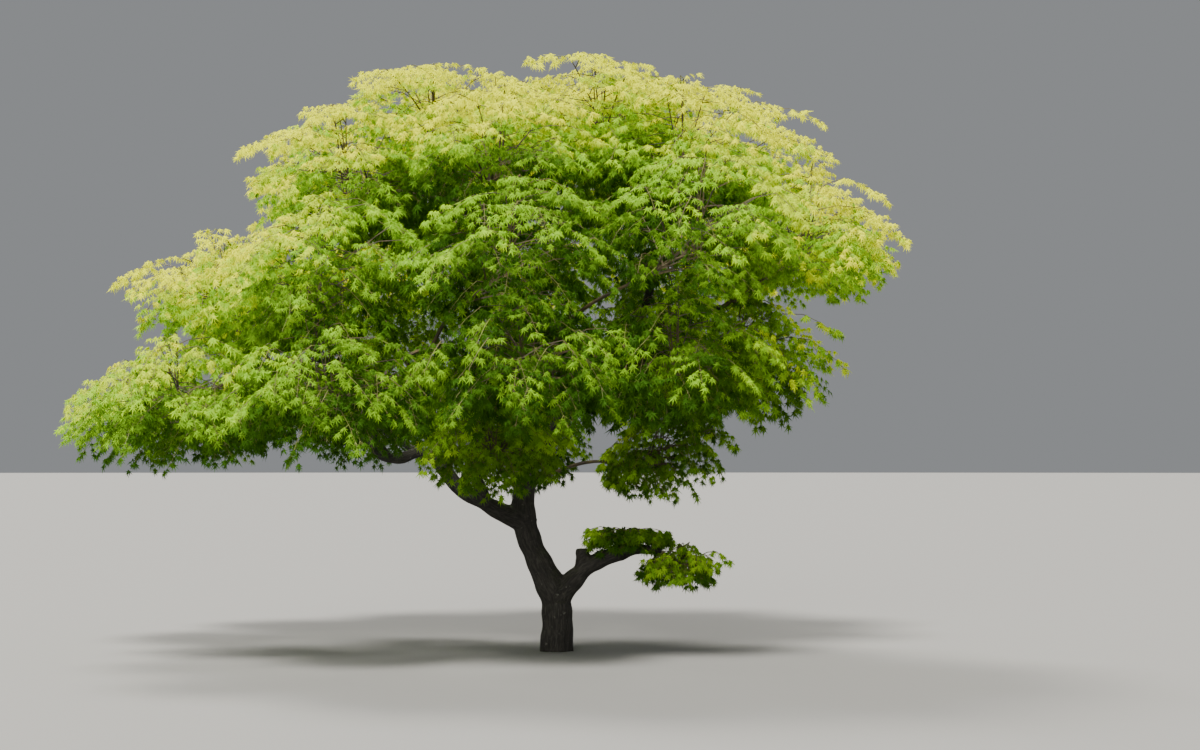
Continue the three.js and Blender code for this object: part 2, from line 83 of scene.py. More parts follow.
# How far in millimetres a fan may pass the frame's box
BOX_MARGIN = 10
SEED = 3
GOLDEN_TURN = math.pi * (3 - math.sqrt(5))
UP = np.array([0.0, 0.0, 1.0])


def chance(seed):
    """A repeatable number from 0 to 1 for a seed."""
    wave = math.sin(seed * 12.9898 + 78.233) * 43758.5453
    return wave - math.floor(wave)


def mix(a, b, share):
    """The value between two, by a share."""
    return a + (b - a) * share


def smoothstep(x, low, high):
    """A smooth share from 0 at low to 1 at high."""
    share = min(max((x - low) / (high - low), 0.0), 1.0)
    return share * share * (3 - 2 * share)


def unit(vector):
    """The vector at a length of 1."""
    return vector / np.linalg.norm(vector)


def vec(*numbers):
    """An array of a few numbers."""
    return np.array(numbers, float)


# Limbs: the same lines and radii as the frame's


class Limb:
    """A tapering limb along a smooth line through a few points."""

    def __init__(self, name, points, root_radius, tip_radius, relief=None):
        self.name = name
        self.points = np.array(points, float)
        self.root_radius = root_radius
        self.tip_radius = tip_radius
        self.relief = relief

    def along(self, shares):
        """The points at several shares of the line."""
        shares = np.clip(np.asarray(shares, float), 0, 1)
        knots = np.vstack([2 * self.points[0] - self.points[1], self.points,
                           2 * self.points[-1] - self.points[-2]])
        place = shares * (len(self.points) - 1)
        whole = np.minimum(place.astype(int), len(self.points) - 2)
        w = (place - whole)[:, None]
        p0, p1, p2, p3 = (knots[whole + i] for i in range(4))
        start, end = (p2 - p0) / 2, (p3 - p1) / 2
        return (p1 + w * start + w ** 2 * (3 * (p2 - p1) - 2 * start - end)
                + w ** 3 * (2 * (p1 - p2) + start + end))

    def at(self, share):
        """The point at one share of the line."""
        return self.along([share])[0]

    def direction(self, share):
        """Which way the limb heads at a share of the line."""
        before, after = self.along([share - 1e-4, share + 1e-4])
        return unit(after - before)

    def radius(self, share):
        """How thick the limb is at a share of the line."""
        return mix(self.root_radius, self.tip_radius, share ** 0.85)

    def frames(self, shares):
        """Centre, direction, side and across at each share, carried along the line without twist."""
        side = None
        for share, centre in zip(shares, self.along(shares)):
            ahead = self.direction(share)
            if side is None:
                side = vec(1, 0, 0) if abs(ahead[2]) > 0.9 else np.cross(UP, ahead)
            side = unit(side - ahead * side.dot(ahead))
            yield centre, ahead, side, np.cross(ahead, side)


def grown_limb(name, parent, on, tip, radii, wander=0.05, arrive=0.15, seed=1):
    """A limb that leaves its parent towards lift, bends over, wanders from side to side and arrives level."""
    start = parent.at(on)
    reach = np.linalg.norm(tip - start)
    towards = unit(tip - start)
    leave = unit(towards + 0.55 * parent.direction(on) + 0.15 * UP)
    outward = unit(unit(vec(towards[0], towards[1], 0)) + arrive * UP)
    handles = [start, start + leave * reach * 0.36, tip - outward * reach * 0.3, tip]
    side = unit(np.cross(towards, UP))
    turn = chance(seed) * 2 * math.pi
    points = []
    for t in (0, 0.2, 0.4, 0.6, 0.8, 1):
        weights = [(1 - t) ** 3, 3 * t * (1 - t) ** 2, 3 * t * t * (1 - t), t ** 3]
        bow = sum(weight * handle for weight, handle in zip(weights, handles))
        sway = reach * wander * math.sin(math.pi * t)
        rise = UP * 0.6 * sway * math.cos(8 * t + turn)
        points.append(bow + side * sway * math.sin(7 * t + turn) + rise)
    return Limb(name, points, *radii)


def trunk_relief(height, angle):
    """Root flare in five lobes to knee height, a swelling under the low fork and less girth above it."""
    flare = math.exp(-max(height, 0) / 130)
    lobes = 0.1 * math.cos(5 * angle + 0.6) + 0.05 * math.cos(3 * angle + 2)
    swelling = 0.14 * math.exp(-(((height - 540) / 160) ** 2))
    slimming = 0.03 * smoothstep(height, 620, 820)
    return 1 + flare * (0.14 + lobes) + swelling - slimming + 0.02 * math.cos(3 * angle + height / 160)


TRUNK_LINE = [(-4, 0, -120), (12, 0, 240), (-8, 10, 520), (-140, 20, 800), (-258, 20, 1075), (-312, 0, 1360),
              (-300, 10, 1640)]
LOW_RIGHT_LINE = [(165, -15, 675), (300, -35, 800), (450, -45, 880), (620, -60, 945)]
LOW_ARM_LINE = [(760, -80, 975), (900, -110, 968), (1010, -130, 950)]
LEFT_BOUGH_LINE = [(-520, -40, 1330), (-690, -90, 1420), (-900, -150, 1540), (-1110, -230, 1790),
                   (-1280, -270, 1900), (-1480, -300, 1840), (-1660, -310, 1880), (-1830, -290, 2060)]
RIGHT_LEADER_LINE = [(-225, 20, 1830), (-60, 20, 2080), (130, 10, 2340), (400, 20, 2690), (740, 40, 3080),
                     (900, 50, 3450), (945, 40, 3900), (900, 0, 4330)]


def shaped_limb(name, parent, on, line, radii):
    """A limb that leaves its parent and follows its own line."""
    return Limb(name, [parent.at(on), *line], *radii)


TRUNK = Limb("trunk", TRUNK_LINE, TRUNK_DIAMETER / 2, 110, trunk_relief)
LOW_RIGHT_LIMB = shaped_limb("low_right_limb", TRUNK, 0.31, LOW_RIGHT_LINE, (96, 70))
LOW_RIGHT_ARM = shaped_limb("low_right_arm", LOW_RIGHT_LIMB, 1, LOW_ARM_LINE, (62, 36))
LEFT_BOUGH = shaped_limb("left_bough", TRUNK, 0.76, LEFT_BOUGH_LINE, (88, 42))
RIGHT_LEADER = shaped_limb("right_leader", TRUNK, 1, RIGHT_LEADER_LINE, (96, 28))
LEFT_LEADER = grown_limb("left_leader", TRUNK, 0.97, vec(-1080, 60, 4150), (66, 28), 0.06, 0.8, 3)
FRONT_BOUGH = grown_limb("front_bough", LEFT_BOUGH, 0.24, vec(-700, -1000, 2330), (60, 38), 0.05, 0.35, 5)
RIGHT_BOUGH = grown_limb("right_bough", RIGHT_LEADER, 0.34, vec(960, -90, 2640), (62, 40), 0.05, 0.1, 8)
BACK_BOUGH = grown_limb("back_bough", TRUNK, 0.88, vec(-420, 1050, 2420), (66, 38), 0.05, 0.35, 13)
HIGH_RIGHT_BOUGH = grown_limb("high_right_bough", RIGHT_LEADER, 0.6, vec(1600, -20, 3300), (44, 28), 0.04,
                              0.25, 21)
MAIN_WOOD = [TRUNK, LOW_RIGHT_LIMB, LOW_RIGHT_ARM, LEFT_BOUGH, FRONT_BOUGH, BACK_BOUGH, RIGHT_BOUGH,
             HIGH_RIGHT_BOUGH, LEFT_LEADER, RIGHT_LEADER]
# The stub of a pruned branch on the low right limb
STUMP = Limb("pruned_stump", [(245, -30, 760), (252, -32, 870), (256, -33, 980)], 70, 58)

# Where the masses of foliage sit: rings round a crown axis that leans to the right as it rises
RINGS = {
    "skirt": dict(count=10, turn=0, middle_x=-1100, reach_x=CROWN_LEFT - 1810, reach_y=CROWN_HALF_DEPTH - 640,
                  height=SKIRT_HEIGHT, lift=200, stagger=190, radius=1000),
    "shoulder": dict(count=10, turn=18, middle_x=-300, reach_x=CROWN_RIGHT - 410,
                     reach_y=CROWN_HALF_DEPTH - 810, height=SKIRT_HEIGHT + 1130, lift=200, stagger=170,
                     radius=1030),
    "upper": dict(count=7, turn=8, middle_x=-260, reach_x=2090, reach_y=1920, height=CROWN_TOP - 1030,
                  lift=60, stagger=110, radius=990),
    "top": dict(count=4, turn=35, middle_x=-250, reach_x=1120, reach_y=1050, height=CROWN_TOP - 430, lift=10,
                stagger=20, radius=990),
}

# How much further than the others the fans of each ring hang
RING_SAG = {"skirt": 0.32, "shoulder": 0.22, "upper": 0.05, "top": -0.05}
# The heights, as shares of a mass, over which its fans grow, and the same where it ends the crown's side
SPAN = (-0.95, 0.95)
SIDE_SPAN = (-0.95, 0.55)


class Mass:
    """One mass of foliage: its space and stem, where its fans grow, how they hang, and their youth."""

    def __init__(self, name, heading, seed, radius, centre):
        self.name = name
        self.heading = heading
        self.seed = seed
        self.radius = radius
        self.centre = centre
        self.flat_centre = centre * vec(1, 1, FLATNESS)
        self.stem = None
        self.walls = []
        self.span = SPAN
        self.sag = 0
        self.youth = 0
        self.rise = 0
        self.overreach = OVERREACH

    def holds(self, points):
        """Whether each point lies in the mass's flattened ball, and past no wall by more than mingling."""
        away = (points - self.rise * UP) * vec(1, 1, FLATNESS) - self.flat_centre
        inside = np.linalg.norm(away, axis=1) <= self.radius * self.overreach
        for normal, share in self.walls:
            inside &= away @ normal < share + MINGLING * self.radius
        return inside


def heading_out(heading):
    """The level direction of a heading in degrees."""
    return vec(math.cos(math.radians(heading)), math.sin(math.radians(heading)), 0)


def ring_rise(ring, right):
    """How much higher than the solid a mass's fans lie, by how far right it is, from -1 to 1."""
    if ring == "upper":
        return 110 + 60 * right
    return 170 * max(right, 0) if ring == "shoulder" else 0


def ring_mass(ring, k):
    """A mass of a ring, by its number."""
    rule = RINGS[ring]
    heading = rule["turn"] + 360 / rule["count"] * k
    out = heading_out(heading)
    seed = rule["count"] * 31 + k * 7 + SEED
    inset = 1 - 0.06 * chance(seed)
    centre = vec(rule["middle_x"] + rule["reach_x"] * inset * out[0], rule["reach_y"] * inset * out[1],
                 rule["height"] + rule["lift"] * out[0] + rule["stagger"] * (chance(seed + 2) - 0.5))
    radius = rule["radius"] * (0.96 + 0.08 * chance(seed + 1))
    mass = Mass(f"{ring}_foliage_{k + 1}", heading, seed, radius, centre)
    mass.sag = RING_SAG[ring]
    mass.rise = ring_rise(ring, out[0])
    if ring == "shoulder" and abs(out[0]) > 0.9 or ring == "skirt" and out[0] < -0.9:
        mass.span = SIDE_SPAN
    if ring == "top":
        mass.overreach = TOP_OVERREACH
    return mass


# What carries the masses: for each outer limb its parent and place there, which of the shoulder's masses the
# high right bough carries instead, and for each upper limb its parent, place and masses
OUTER_PARENTS = [(RIGHT_BOUGH, 1), (RIGHT_BOUGH, 0.5), (BACK_BOUGH, 1), (BACK_BOUGH, 0.84),
                 (LEFT_BOUGH, 0.64), (LEFT_BOUGH, 1), (LEFT_BOUGH, 0.82), (FRONT_BOUGH, 1),
                 (FRONT_BOUGH, 0.8), (RIGHT_BOUGH, 0.78)]
HIGH_RIGHT_SHOULDERS = (0, 9)
UPPER_PARENTS = [(RIGHT_LEADER, 0.84, (0, 6)), (RIGHT_LEADER, 0.9, (1, 2)), (LEFT_LEADER, 0.8, (3,)),
                 (LEFT_LEADER, 0.87, (4, 5))]
TOP_LEADERS = [RIGHT_LEADER, LEFT_LEADER, LEFT_LEADER, RIGHT_LEADER]
# Inside the crown: each mass's heading, distance out, height, radius, place on the trunk and youth, which
# lifts its leaves to lighter tints, partly as young growth and partly as painted light
INNER = [(258, 1200, 2010, 780, 0.93, 0.15), (342, 1450, 1900, 720, 0.95, 0.12),
         (95, 1500, 2040, 820, 0.9, 0.1)]
INNER_SAG = 0.35
# On the low right limb: each mass's heading, seed, radius, centre, limb, span and sag
LOW_MASSES = [(80, 950, 470, (700, 40, 1120), LOW_RIGHT_LIMB, (-0.3, 0.0), -0.15),
              (-10, 951, 480, (1200, -150, 860), LOW_RIGHT_ARM, (-0.75, 0.4), 0.35)]
LOW_YOUTH = 0.08
LOW_RISE = 25


def set_walls(masses):
    """Puts a wall between each mass and every neighbour, where their flattened balls would meet."""
    for mass in masses:
        for other in masses:
            if other is mass:
                continue
            across = other.flat_centre - mass.flat_centre
            distance = np.linalg.norm(across)
            share = (distance ** 2 + mass.radius ** 2 - other.radius ** 2) / (2 * distance)
            if share < mass.radius + SPACE_MARGIN:
                mass.walls.append((across / distance, share))


def crown_plan():
    """The outer and upper limbs, and the masses with their stems and walls."""
    limbs, masses = [], []

    def add(mass, limb, stem_radius=20, on=1):
        """Adds a mass, with a stem from the limb to a little under its middle."""
        heart = mass.centre - UP * 0.22 * mass.radius / FLATNESS
        mass.stem = grown_limb(mass.name, limb, on, heart, (stem_radius, 10), 0.04, 0.1, mass.seed)
        masses.append(mass)

    for k, (parent, on) in enumerate(OUTER_PARENTS):
        below, above = ring_mass("skirt", k), ring_mass("shoulder", k)
        forks = k not in HIGH_RIGHT_SHOULDERS
        between = mix(below.centre, above.centre, 0.42 if forks else 0.1)
        tip = mix(between, vec(-600, 0, between[2]), 0.3) - 60 * UP
        limb = grown_limb(f"outer_limb_{k + 1}", parent, on, tip, (34, 24), 0.05, 0.1, 40 + k)
        limbs.append(limb)
        add(below, limb)
        add(above, limb if forks else HIGH_RIGHT_BOUGH)
    for k, (parent, on, wanted) in enumerate(UPPER_PARENTS):
        held = [ring_mass("upper", i) for i in wanted]
        middle = sum(mass.centre for mass in held) / len(held)
        tip = mix(middle, vec(-200, 0, 4250), 0.34 if len(held) > 1 else 0.5) - 160 * UP
        limb = grown_limb(f"upper_limb_{k + 1}", parent, on, tip, (26, 20), 0.05, 0.2, 60 + k)
        limbs.append(limb)
        for mass in held:
            add(mass, limb, 17)
    for k, leader in enumerate(TOP_LEADERS):
        add(ring_mass("top", k), leader)
    for k, (heading, reach, height, radius, on, youth) in enumerate(INNER):
        centre = heading_out(heading) * reach + vec(-330, 0, height)
        mass = Mass(f"inner_foliage_{k + 1}", heading, 900 + k, radius, centre)
        mass.youth, mass.sag = youth, INNER_SAG
        add(mass, TRUNK, 26, on)
    for k, (heading, seed, radius, centre, limb, span, sag) in enumerate(LOW_MASSES):
        mass = Mass(f"low_limb_foliage_{k + 1}", heading, seed, radius, vec(*centre))
        mass.span, mass.sag, mass.youth, mass.rise = span, sag, LOW_YOUTH, LOW_RISE
        add(mass, limb)
    set_walls(masses)
    return limbs, masses


OUTER_WOOD, MASSES = crown_plan()

# The rule of growth, carried to finer twigs: twigs leave the stem at a golden turn and spread from the foot
# of the mass to its top, and each ends in a pad of leafy sprays, an arched fan, with others beside it where
# it forks: at which point of its line and to which side
TWIGS = 20
FORKS = ((2, 1), (3, -1), (4, 1), (1, -1))
# Where the fans start: how near the foot and top of the mass, and how far from its middle, as shares of its
# radius. The last ones start beyond the middle, by TOP_CROSSING of that, and close the mass's top
FAN_HEIGHT = 0.84
FAN_REACH = (0.34, 0.54)
TOP_CROSSING = -0.28
# More fans fill the crown along the limbs: how many to a limb, how far out the furthest start, and their tilt
OUTER_FANS = (7, 260, 0.3)
LEADER_FANS = (20, 520, 0.9)
# A fan's size as a share of its mass's radius, and a side fan's as a share of that
PAD_SIZE = 0.46
SIDE_PAD = 0.9
# How much a fan falls off towards its tip and towards its sides
PAD_ARCH = (0.2, 0.38)
# Radii in millimetres at the two ends of each kind of twig
TWIG_RADII = (9.5, 4)
SIDE_TWIG_RADII = (5.5, 3.5)
FAN_TWIG_RADII = (3.8, 1.6)
SPRAY_TWIG_RADII = (2.2, 0)
# Where a fan doesn't fit, these sizes, reaches and turns are tried in order
SIZE_STEPS = (1, 0.86, 0.73, 0.6)
PULL_STEPS = (1.35, 1.2, 1, 0.8, 0.6, 0.4)
SWING_STEPS = (0, 0.35, -0.35)
# Places on a fan's rim, as shares of its size
PAD_RIM = ((-0.15, -0.3), (0.3, -0.5), (0.8, -0.35), (1.05, 0), (0.8, 0.35), (0.3, 0.5), (-0.15, 0.3))


class Pad:
    """An arched fan of sprays: a main twig heads out from the foot, with side twigs in pairs."""

    def __init__(self, foot, turn, size, tilt, youth=0):
        self.foot, self.turn, self.size, self.tilt, self.youth = foot, turn, size, tilt, youth
        out = vec(math.cos(turn), math.sin(turn), 0)
        self.forward = out * math.cos(tilt) - UP * math.sin(tilt)
        self.normal = out * math.sin(tilt) + UP * math.cos(tilt)
        self.sideways = np.cross(self.normal, self.forward)

    def place(self, flat):
        """Points of the arched fan from places in the pad's plane, as shares of its size."""
        x, y = flat[:, :1], flat[:, 1:]
        fall = PAD_ARCH[0] * x * x + PAD_ARCH[1] * y * y
        return self.foot + self.size * (x * self.forward + y * self.sideways - fall * self.normal)


def fitted_pad(mass, root, foot, turn, size, tilt):
    """The first pad, from the wanted size and reach down, that keeps to the mass's space, or None."""
    low, high = (np.array(corner) / MM for corner in CAD_BOX)
    rim = np.array(PAD_RIM)
    for step in SIZE_STEPS:
        for pull in PULL_STEPS:
            for swing in SWING_STEPS:
                pad = Pad(root + (foot - root) * pull, turn + swing, size * step, tilt, mass.youth)
                points = pad.place(rim)
                boxed = (points > low - BOX_MARGIN).all() and (points < high + BOX_MARGIN).all()
                if boxed and mass.holds(points).all():
                    return pad
    return None


def bowed(root, end, lift, count):
    """A line from root to end that bows upwards, in equal steps."""
    t = np.linspace(0, 1, count)[:, None]
    return root + (end - root) * t + UP * lift * np.linalg.norm(end - root) * np.sin(math.pi * t)


def limb_fans():
    """Fans along the outer limbs and the leaders, and the twigs that carry them."""
    twigs, pads = [], []
    for limb in (*OUTER_WOOD, LEFT_LEADER, RIGHT_LEADER):
        count, furthest, tilt = OUTER_FANS if limb in OUTER_WOOD else LEADER_FANS
        for k in range(count):
            odd = chance(len(pads) + 0.5)
            root = limb.at(mix(0.45, 0.97, (k + odd) / count))
            turn = k * GOLDEN_TURN + 7 * chance(limb.tip_radius + limb.points[-1][0])
            out = vec(math.cos(turn), math.sin(turn), 0.25)
            foot = root + out * mix(110, furthest, odd)
            pads.append(Pad(foot, turn, mix(330, 430, chance(7 * len(pads))), tilt))
            twigs.append((bowed(root, foot, 0.08, 3), *SIDE_TWIG_RADII))
    return twigs, pads


def stem_entry(mass):
    """The share of a mass's stem at which twigs start, where the stem has come into the mass."""
    entry = 1.0
    while entry > 0.3 and mass.holds(mass.stem.along([entry - 0.02]))[0]:
        entry -= 0.02
    return max(entry, 0.4)


def forked_fans(mass, k, line, turn, size, tilt, forks):
    """The fans beside a twig's own, at the points where it forks, and the twigs that carry them."""
    twigs, pads = [], []
    for n, (fork, side) in enumerate(forks):
        start = line[fork]
        odd = chance(mass.seed + 5 * k + n)
        side_turn = turn + side * mix(0.8, 1.4, odd)
        aside = vec(math.cos(side_turn), math.sin(side_turn), 0.12) * mix(0.2, 0.32, 1 - odd) * mass.radius
        lower = (chance(mass.seed + 3 * k + 7 * n) - 0.5) * 0.16 * mass.radius * UP
        pad = fitted_pad(mass, start, start + aside + lower, side_turn, size * SIDE_PAD, tilt)
        if pad is not None:
            pads.append(pad)
            twigs.append((bowed(start, pad.foot, 0.08, 3), *SIDE_TWIG_RADII))
    return twigs, pads


def grow():
    """The twigs as lines with radii, by fineness, and the pads."""
    twigs = []
    side_twigs, pads = limb_fans()
    for mass in MASSES:
        radius, centre, seed = mass.radius, mass.centre + mass.rise * UP, mass.seed
        entry = stem_entry(mass)
        count = TWIGS if radius > 600 else TWIGS - 5
        for k in range(count):
            share = (k + 0.5) / count
            turn = k * GOLDEN_TURN + math.radians(mass.heading) + 0.9 * chance(seed + 5)
            height = mix(*mass.span, share)
            level = math.sqrt(1 - (FAN_HEIGHT * height) ** 2)
            crossing = mix(1, TOP_CROSSING, smoothstep(share, 0.68, 0.97))
            reach = radius * mix(*FAN_REACH, chance(seed + 11 * k)) * crossing
            foot = centre + vec(math.cos(turn), math.sin(turn), 0) * level * reach
            foot = foot + UP * FAN_HEIGHT * height * radius / FLATNESS
            root = mass.stem.at(mix(entry, 0.98, share))
            tilt = mix(0.5, 0.1, share) + mass.sag + 0.3 * (chance(seed + 17 * k) - 0.5)
            size = PAD_SIZE * radius * mix(0.85, 1.15, chance(seed + 13 * k))
            pad = fitted_pad(mass, root, foot, turn, size, tilt)
            if pad is None:
                continue
            line = bowed(root, pad.foot, 0.06, 6)
            twigs.append((line, *TWIG_RADII))
            forks = FORKS if share > 0.6 else FORKS[:3]
            more_twigs, more_pads = forked_fans(mass, k, line, turn, size, tilt, forks)
            side_twigs += more_twigs
            pads += [pad, *more_pads]
    return twigs, side_twigs, pads


def pad_sprays(nodes):
    """A pad's finest twigs, as pairs of ends, in a fan that covers the pad's foot too."""
    ends = []
    for i in range(nodes):
        x = (i + 0.35) / nodes * 0.95
        for side in (-1, 1):
            length = 0.56 * math.sqrt(1 - x) * min(1, 0.75 + x)
            angle = side * mix(1.75, 0.6, x ** 0.6)
            ends.append(((x, 0), (x + length * math.cos(angle), length * math.sin(angle))))
    ends.append(((0.85, 0), (1.0, 0)))
    return np.array(ends)


# A leaf's five lobes: heading, where it starts and ends, and half its width at the start
LEAF_LOBES = ((-1.42, -0.03, 0.68, 0.12), (-0.71, -0.03, 0.94, 0.13), (0, -0.26, 1.05, 0.125),
              (0.71, -0.03, 0.94, 0.13), (1.42, -0.03, 0.68, 0.12))
# How far a leaf's heart lies from the twig, how far its lobes tip to one side and how much their ends hang
LEAF_STALK = 0.22
LEAF_TIP = 0.05
LEAF_HANG = 0.55
# Leaves deep in the crown are larger and further apart than at its skin, and this is where they change
LEAF_SCALES = (1.28, 0.92)
SKIN = (0.6, 0.85)
# How much twigs and leaves differ by chance: in radians, and for a twig's place and fall as shares of its fan
SCATTER = dict(swing=0.2, place=0.035, fall=0.07, turn=0.25, droop=0.38, roll=0.35)
SPRAY_LENGTHS = (0.7, 1.15)
LEAF_SIZES = (0.78, 1.16)


def leaf_outline():
    """A leaf's corners and faces: one face to each lobe, the middle one reaching back to the twig."""
    corners, faces = [], []
    for number, (angle, start, end, width) in enumerate(LEAF_LOBES):
        out = vec(math.cos(angle), math.sin(angle))
        aside = vec(-math.sin(angle), math.cos(angle))
        lift = LEAF_TIP * (-1) ** number
        corners += [(*(out * start - aside * width), -lift), (*(out * end), -LEAF_HANG * end * end),
                    (*(out * start + aside * width), lift)]
        faces.append((3 * number, 3 * number + 1, 3 * number + 2))
    return np.array(corners), np.array(faces)


def crown_share(point):
    """How far out in the crown a point is: 0 at its heart and 1 at its skin."""
    middle = vec((CROWN_RIGHT - CROWN_LEFT) / 2, 0, SKIRT_HEIGHT)
    height = CROWN_TOP - SKIRT_HEIGHT if point[2] > SKIRT_HEIGHT else CROWN_DROP
    half = vec((CROWN_RIGHT + CROWN_LEFT) / 2, CROWN_HALF_DEPTH, height)
    return np.linalg.norm((point - middle) / half)


def fan_twigs(pad, nodes, rng):
    """A fan's finest twigs: where they start and how they reach in its plane, and their ends in the crown."""
    flat = pad_sprays(nodes)
    count = len(flat)
    start, reach = flat[:, 0], flat[:, 1] - flat[:, 0]
    swing = rng.normal(0, SCATTER["swing"], count)
    length = rng.uniform(*SPRAY_LENGTHS, count)
    across = np.stack([-reach[:, 1], reach[:, 0]], 1)
    reach = (reach * np.cos(swing)[:, None] + across * np.sin(swing)[:, None]) * length[:, None]
    start[:, 0] += rng.normal(0, SCATTER["place"], count)
    ends = np.stack([pad.place(start), pad.place(start + reach)], axis=1)
    ends[:, 1, 2] += rng.normal(0, SCATTER["fall"] * pad.size, count)
    return start, reach, ends


def fan_leaves(pad, start, reach, ends, leaf_spacing, leaf_length, rng):
    """A fan's leaves as arrays, in pairs along each twig with one at its tip."""
    heading = np.arctan2(reach[:, 1], reach[:, 0])
    pairs = np.linalg.norm(reach, axis=1) * pad.size * MM / leaf_spacing
    pairs = np.maximum(1, np.round(pairs)).astype(int)
    number = np.repeat(np.arange(len(reach)), 2 * pairs + 1)
    place = np.concatenate([np.arange(2 * pair + 1) for pair in pairs])
    pair = pairs[number]
    tip = place == 2 * pair
    share = np.where(tip, 1, (place // 2 + 0.8) / pair * 0.95)
    hand = np.where(tip, 0, place % 2 * 2 - 1)
    edge = np.clip(np.linalg.norm(start[number] + reach[number], axis=1), 0, 1)
    turn = pad.turn + heading[number] + hand * (1.1 - 0.45 * share)
    droop = pad.tilt * 0.4 + 0.35 + 0.4 * edge ** 2
    count = len(number)
    return {"node": ends[number, 0] * (1 - share[:, None]) + ends[number, 1] * share[:, None],
            "turn": turn + rng.normal(0, SCATTER["turn"], count),
            "droop": droop + rng.normal(0, SCATTER["droop"], count),
            "roll": rng.normal(0, SCATTER["roll"], count),
            "size": leaf_length * rng.uniform(*LEAF_SIZES, count),
            "spray": number}


def sprays(pads, twig_spacing, leaf_spacing, leaf_length):
    """All the finest twigs as pairs of ends, all leaves as arrays, and each spray's youth."""
    twig_ends, fans, youth = [], [], []
    spray_count = 0
    rng = np.random.default_rng(SEED)
    for pad in pads:
        nodes = int(np.clip(round(pad.size * MM / twig_spacing), 3, 10))
        start, reach, ends = fan_twigs(pad, nodes, rng)
        coarse = mix(*LEAF_SCALES, smoothstep(crown_share(pad.foot + 0.5 * pad.size * pad.forward), *SKIN))
        fan = fan_leaves(pad, start, reach, ends, leaf_spacing * coarse, leaf_length * coarse, rng)
        fan["spray"] += spray_count
        spray_count += len(ends)
        twig_ends.append(ends)
        fans.append(fan)
        youth.append(np.full(len(ends), pad.youth))
    leaves = {key: np.concatenate([fan[key] for fan in fans]) for key in fans[0]}
    leaves["node"] *= MM
    return np.concatenate(twig_ends) * MM, leaves, np.concatenate(youth)


# Where the sun comes from, for the key lamp and for the light painted into the leaf tints, and the sky's two
# sides whose light on the crown's flanks is painted into them too, with the weight of each
SUN_SIDE = unit(vec(-0.26, 0.6, 0.74))
LIGHT_SIDES = ((SUN_SIDE, 0.6), (unit(vec(-0.75, 0.1, 0.65)), 0.2), (unit(vec(0.75, 0.1, 0.65)), 0.2))
# From where a tier of leaves looks open
OPEN_SIDE = unit(vec(0, -0.3, 0.95))
# The size in metres and the number of the cells in which leaves that stand in the light are counted, for the
# sun and for how open a tier is, and how many of them dim the sun to about a third
SUN_CELLS = (0.2, 13)
OPEN_CELLS = (0.09, 7)
SUN_DEPTH = 90
# The line up the front of the crown along which the leaves get the greenest, darkest tints, partly as shade
# leaves and partly as painted shade on the crown's shaded front, how far off it they start and end to turn
# lighter and yellower, and how much a step to the left, back, up or down counts against one to the right
SHADE_FOOT = vec(-0.3, -1.6, 2.2)
SHADE_HEAD = vec(0.2, -1.6, 4.1)
SHADE_REACH = (0.7, 2.8)
SHADE_LEFT, SHADE_BACK, SHADE_ABOVE, SHADE_BELOW = 0.8, 0.35, 3.4, 0.5
# Below what height and over what depth the leaves keep more of their darker green, partly as shade leaves and
# partly as painted shade under the crown, and how much of it
LOW_SHADE_HEIGHT = 3.5
LOW_SHADE_DEPTH = 1.5
LOW_SHADE = 0.85
# How much a spray gets lighter, yellower tints at the crown's rim, in the open and in the sun, partly as
# sunlit leaves yellow and partly as painted light, and how sprays differ by chance
RIM_WEIGHT = 0.5
OPEN_WEIGHT = 0.42
SUN_WEIGHT = 0.2
AGE_SPREAD = 0.05
# The share of the tints between the colours of shade and half shade, and how they crowd towards shade
GREEN_SHARE = 0.6
TINT_CURVE = 1.45


def leaves_towards(nodes, middles, towards, cell, steps):
    """How many leaves lie from each of some points in a direction, counted in a row of cells."""
    low = nodes.min(axis=0) - cell
    size = np.ceil((nodes.max(axis=0) + cell - low) / cell).astype(int) + 1
    crowd = np.zeros(size)
    np.add.at(crowd, tuple(((nodes - low) / cell).astype(int).T), 1)
    depth = np.zeros(len(middles))
    for step in range(1, steps + 1):
        places = ((middles + towards * cell * (step + 0.3) - low) / cell).astype(int)
        inside = ((places >= 0) & (places < size)).all(axis=1)
        places = np.clip(places, 0, size - 1)
        depth += np.where(inside, crowd[tuple(places.T)], 0)
    return depth


def spray_light(leaves, spray_count):
    """Each spray's middle, its share of the sun through the whole crown, and how open it is on its tier."""
    nodes = leaves["node"]
    middles = np.zeros((spray_count, 3))
    counts = np.bincount(leaves["spray"], minlength=spray_count)
    for axis in range(3):
        middles[:, axis] = np.bincount(leaves["spray"], nodes[:, axis], spray_count)
    middles /= np.maximum(counts, 1)[:, None]
    sun = np.zeros(spray_count)
    for towards, weight in LIGHT_SIDES:
        sun += weight * np.exp(-leaves_towards(nodes, middles, towards, *SUN_CELLS) / SUN_DEPTH)
    above = leaves_towards(nodes, middles, OPEN_SIDE, *OPEN_CELLS)
    return middles, sun, np.exp(-above / np.median(above))


